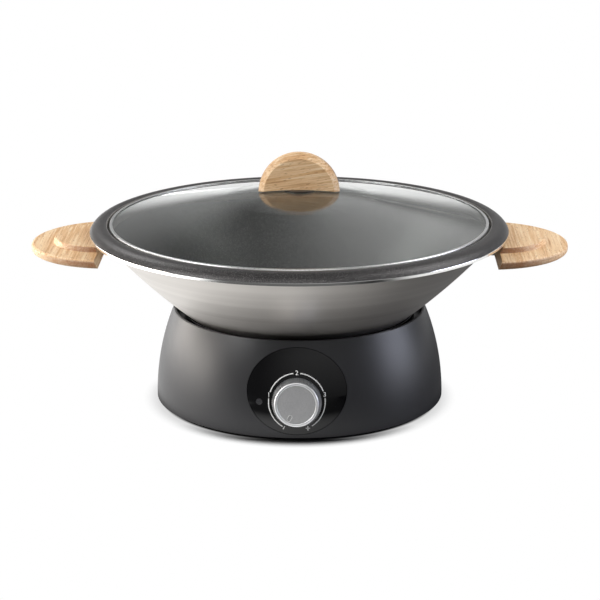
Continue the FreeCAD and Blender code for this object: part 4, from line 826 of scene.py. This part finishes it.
def studio_world():
    """White to the eye all round. Gloss and glass see a white backdrop behind the object that
    fades as it rises, a soft haze of light above it, the pale room in front and dim walls at
    the sides; everything else gets a low even fill."""
    world = bpy.data.worlds.new("studio")
    world.use_nodes = True
    tree = world.node_tree
    tree.nodes.clear()
    direction = add(tree, "TexCoord", take="Generated")
    way = add(tree, "SeparateXYZ", {"Vector": direction}).node
    back = add(tree, "VectorMath", {0: direction, 1: BACKDROP_WAY}, take="Value",
               operation="DOT_PRODUCT")
    behind = add(tree, "MapRange", {"Value": back, "From Min": 0.35, "From Max": 0.8},
                 interpolation_type="SMOOTHSTEP")
    low = add(tree, "MapRange", {"Value": way.outputs["Z"], "From Min": 0.0, "From Max": 0.16,
                                 "To Min": 1.0, "To Max": 0.25},
              interpolation_type="SMOOTHSTEP")
    high = add(tree, "MapRange", {"Value": way.outputs["Z"], "From Min": 0.3, "From Max": 0.6,
                                  "To Min": 1.0, "To Max": 0.0},
               interpolation_type="SMOOTHSTEP")
    backdrop = add(tree, "Math", {0: behind, 1: low}, operation="MULTIPLY")
    backdrop = add(tree, "Math", {0: backdrop, 1: high}, operation="MULTIPLY")
    haze = add(tree, "VectorMath", {0: direction, 1: HAZE_WAY}, take="Value",
               operation="DOT_PRODUCT")
    haze = add(tree, "MapRange", {"Value": haze, "From Min": 0.95, "From Max": 1.0,
                                  "To Max": 0.75}, interpolation_type="SMOOTHSTEP")
    backdrop = add(tree, "Math", {0: backdrop, 1: haze}, operation="MAXIMUM")
    front = add(tree, "VectorMath", {0: direction, 1: ROOM_WAY}, take="Value",
                operation="DOT_PRODUCT")
    front = add(tree, "MapRange", {"Value": front, "From Min": 0.5, "From Max": 1.0},
                interpolation_type="SMOOTHSTEP")
    raised = add(tree, "MapRange", {"Value": way.outputs["Z"], "From Min": 0.0,
                                    "From Max": 0.35, "To Min": 0.08, "To Max": 0.45})
    front = add(tree, "Math", {0: front, 1: raised, 2: EVEN_FILL}, operation="MULTIPLY_ADD")
    eye, mirrored = rays(tree)
    room = add(tree, "Mix", {"Factor": mirrored, "A": EVEN_FILL, "B": front})
    mirrored = add(tree, "Math", {0: mirrored, 1: backdrop}, operation="MULTIPLY")
    share = add(tree, "Math", {0: eye, 1: mirrored}, operation="MAXIMUM")
    fill = add(tree, "Background", {"Color": srgb("#ffffff"), "Strength": room})
    white = add(tree, "Background", {"Color": srgb("#ffffff"), "Strength": 1.0})
    add(tree, "OutputWorld", {"Surface": add(tree, "MixShader", {0: share, 1: fill, 2: white})})
    bpy.context.scene.world = world


def softbox(name, place, size, power, colour):
    """A rectangular soft light that points at LAMP_AIM."""
    lamp = bpy.data.lights.new(name, "AREA")
    lamp.shape = "RECTANGLE"
    lamp.size, lamp.size_y = size
    lamp.energy = power
    lamp.color = srgb(colour)[:3]
    made = bpy.data.objects.new(name, lamp)
    made.location = place
    aim = Vector(LAMP_AIM) - Vector(place)
    made.rotation_euler = aim.to_track_quat("-Z", "Y").to_euler()
    bpy.context.scene.collection.objects.link(made)


def place_camera():
    """The camera, in front and above, turned a little about the object and rolled a touch."""
    camera = bpy.data.objects.new("camera", bpy.data.cameras.new("camera"))
    camera.data.lens = CAMERA_LENS
    camera.data.sensor_width = CAMERA_SENSOR
    camera.data.shift_x = CAMERA_SHIFT_X
    bpy.context.scene.collection.objects.link(camera)
    heading = Vector((-math.sin(CAMERA_TURN), math.cos(CAMERA_TURN), 0))
    right = Vector((math.cos(CAMERA_TURN), math.sin(CAMERA_TURN), 0))
    forward = heading * math.cos(CAMERA_PITCH) - Vector((0, 0, 1)) * math.sin(CAMERA_PITCH)
    up = right.cross(forward)
    rolled_up = up * math.cos(CAMERA_ROLL) + right * math.sin(CAMERA_ROLL)
    rolled_right = right * math.cos(CAMERA_ROLL) - up * math.sin(CAMERA_ROLL)
    turned = Matrix((rolled_right, rolled_up, -forward)).transposed().to_4x4()
    stand = Matrix.Translation(-heading * CAMERA_DISTANCE + Vector((0, 0, CAMERA_HEIGHT)))
    camera.matrix_world = stand @ turned
    bpy.context.scene.camera = camera


disc = bmesh.new()
bmesh.ops.create_circle(disc, cap_ends=True, segments=64, radius=FLOOR_RADIUS)
floor = kept("floor", disc, pale_floor())
studio_world()
for name, place, size, power, colour in LAMPS:
    softbox(name, place, size, power, colour)
place_camera()
bpy.context.scene.view_settings.view_transform = "Standard"
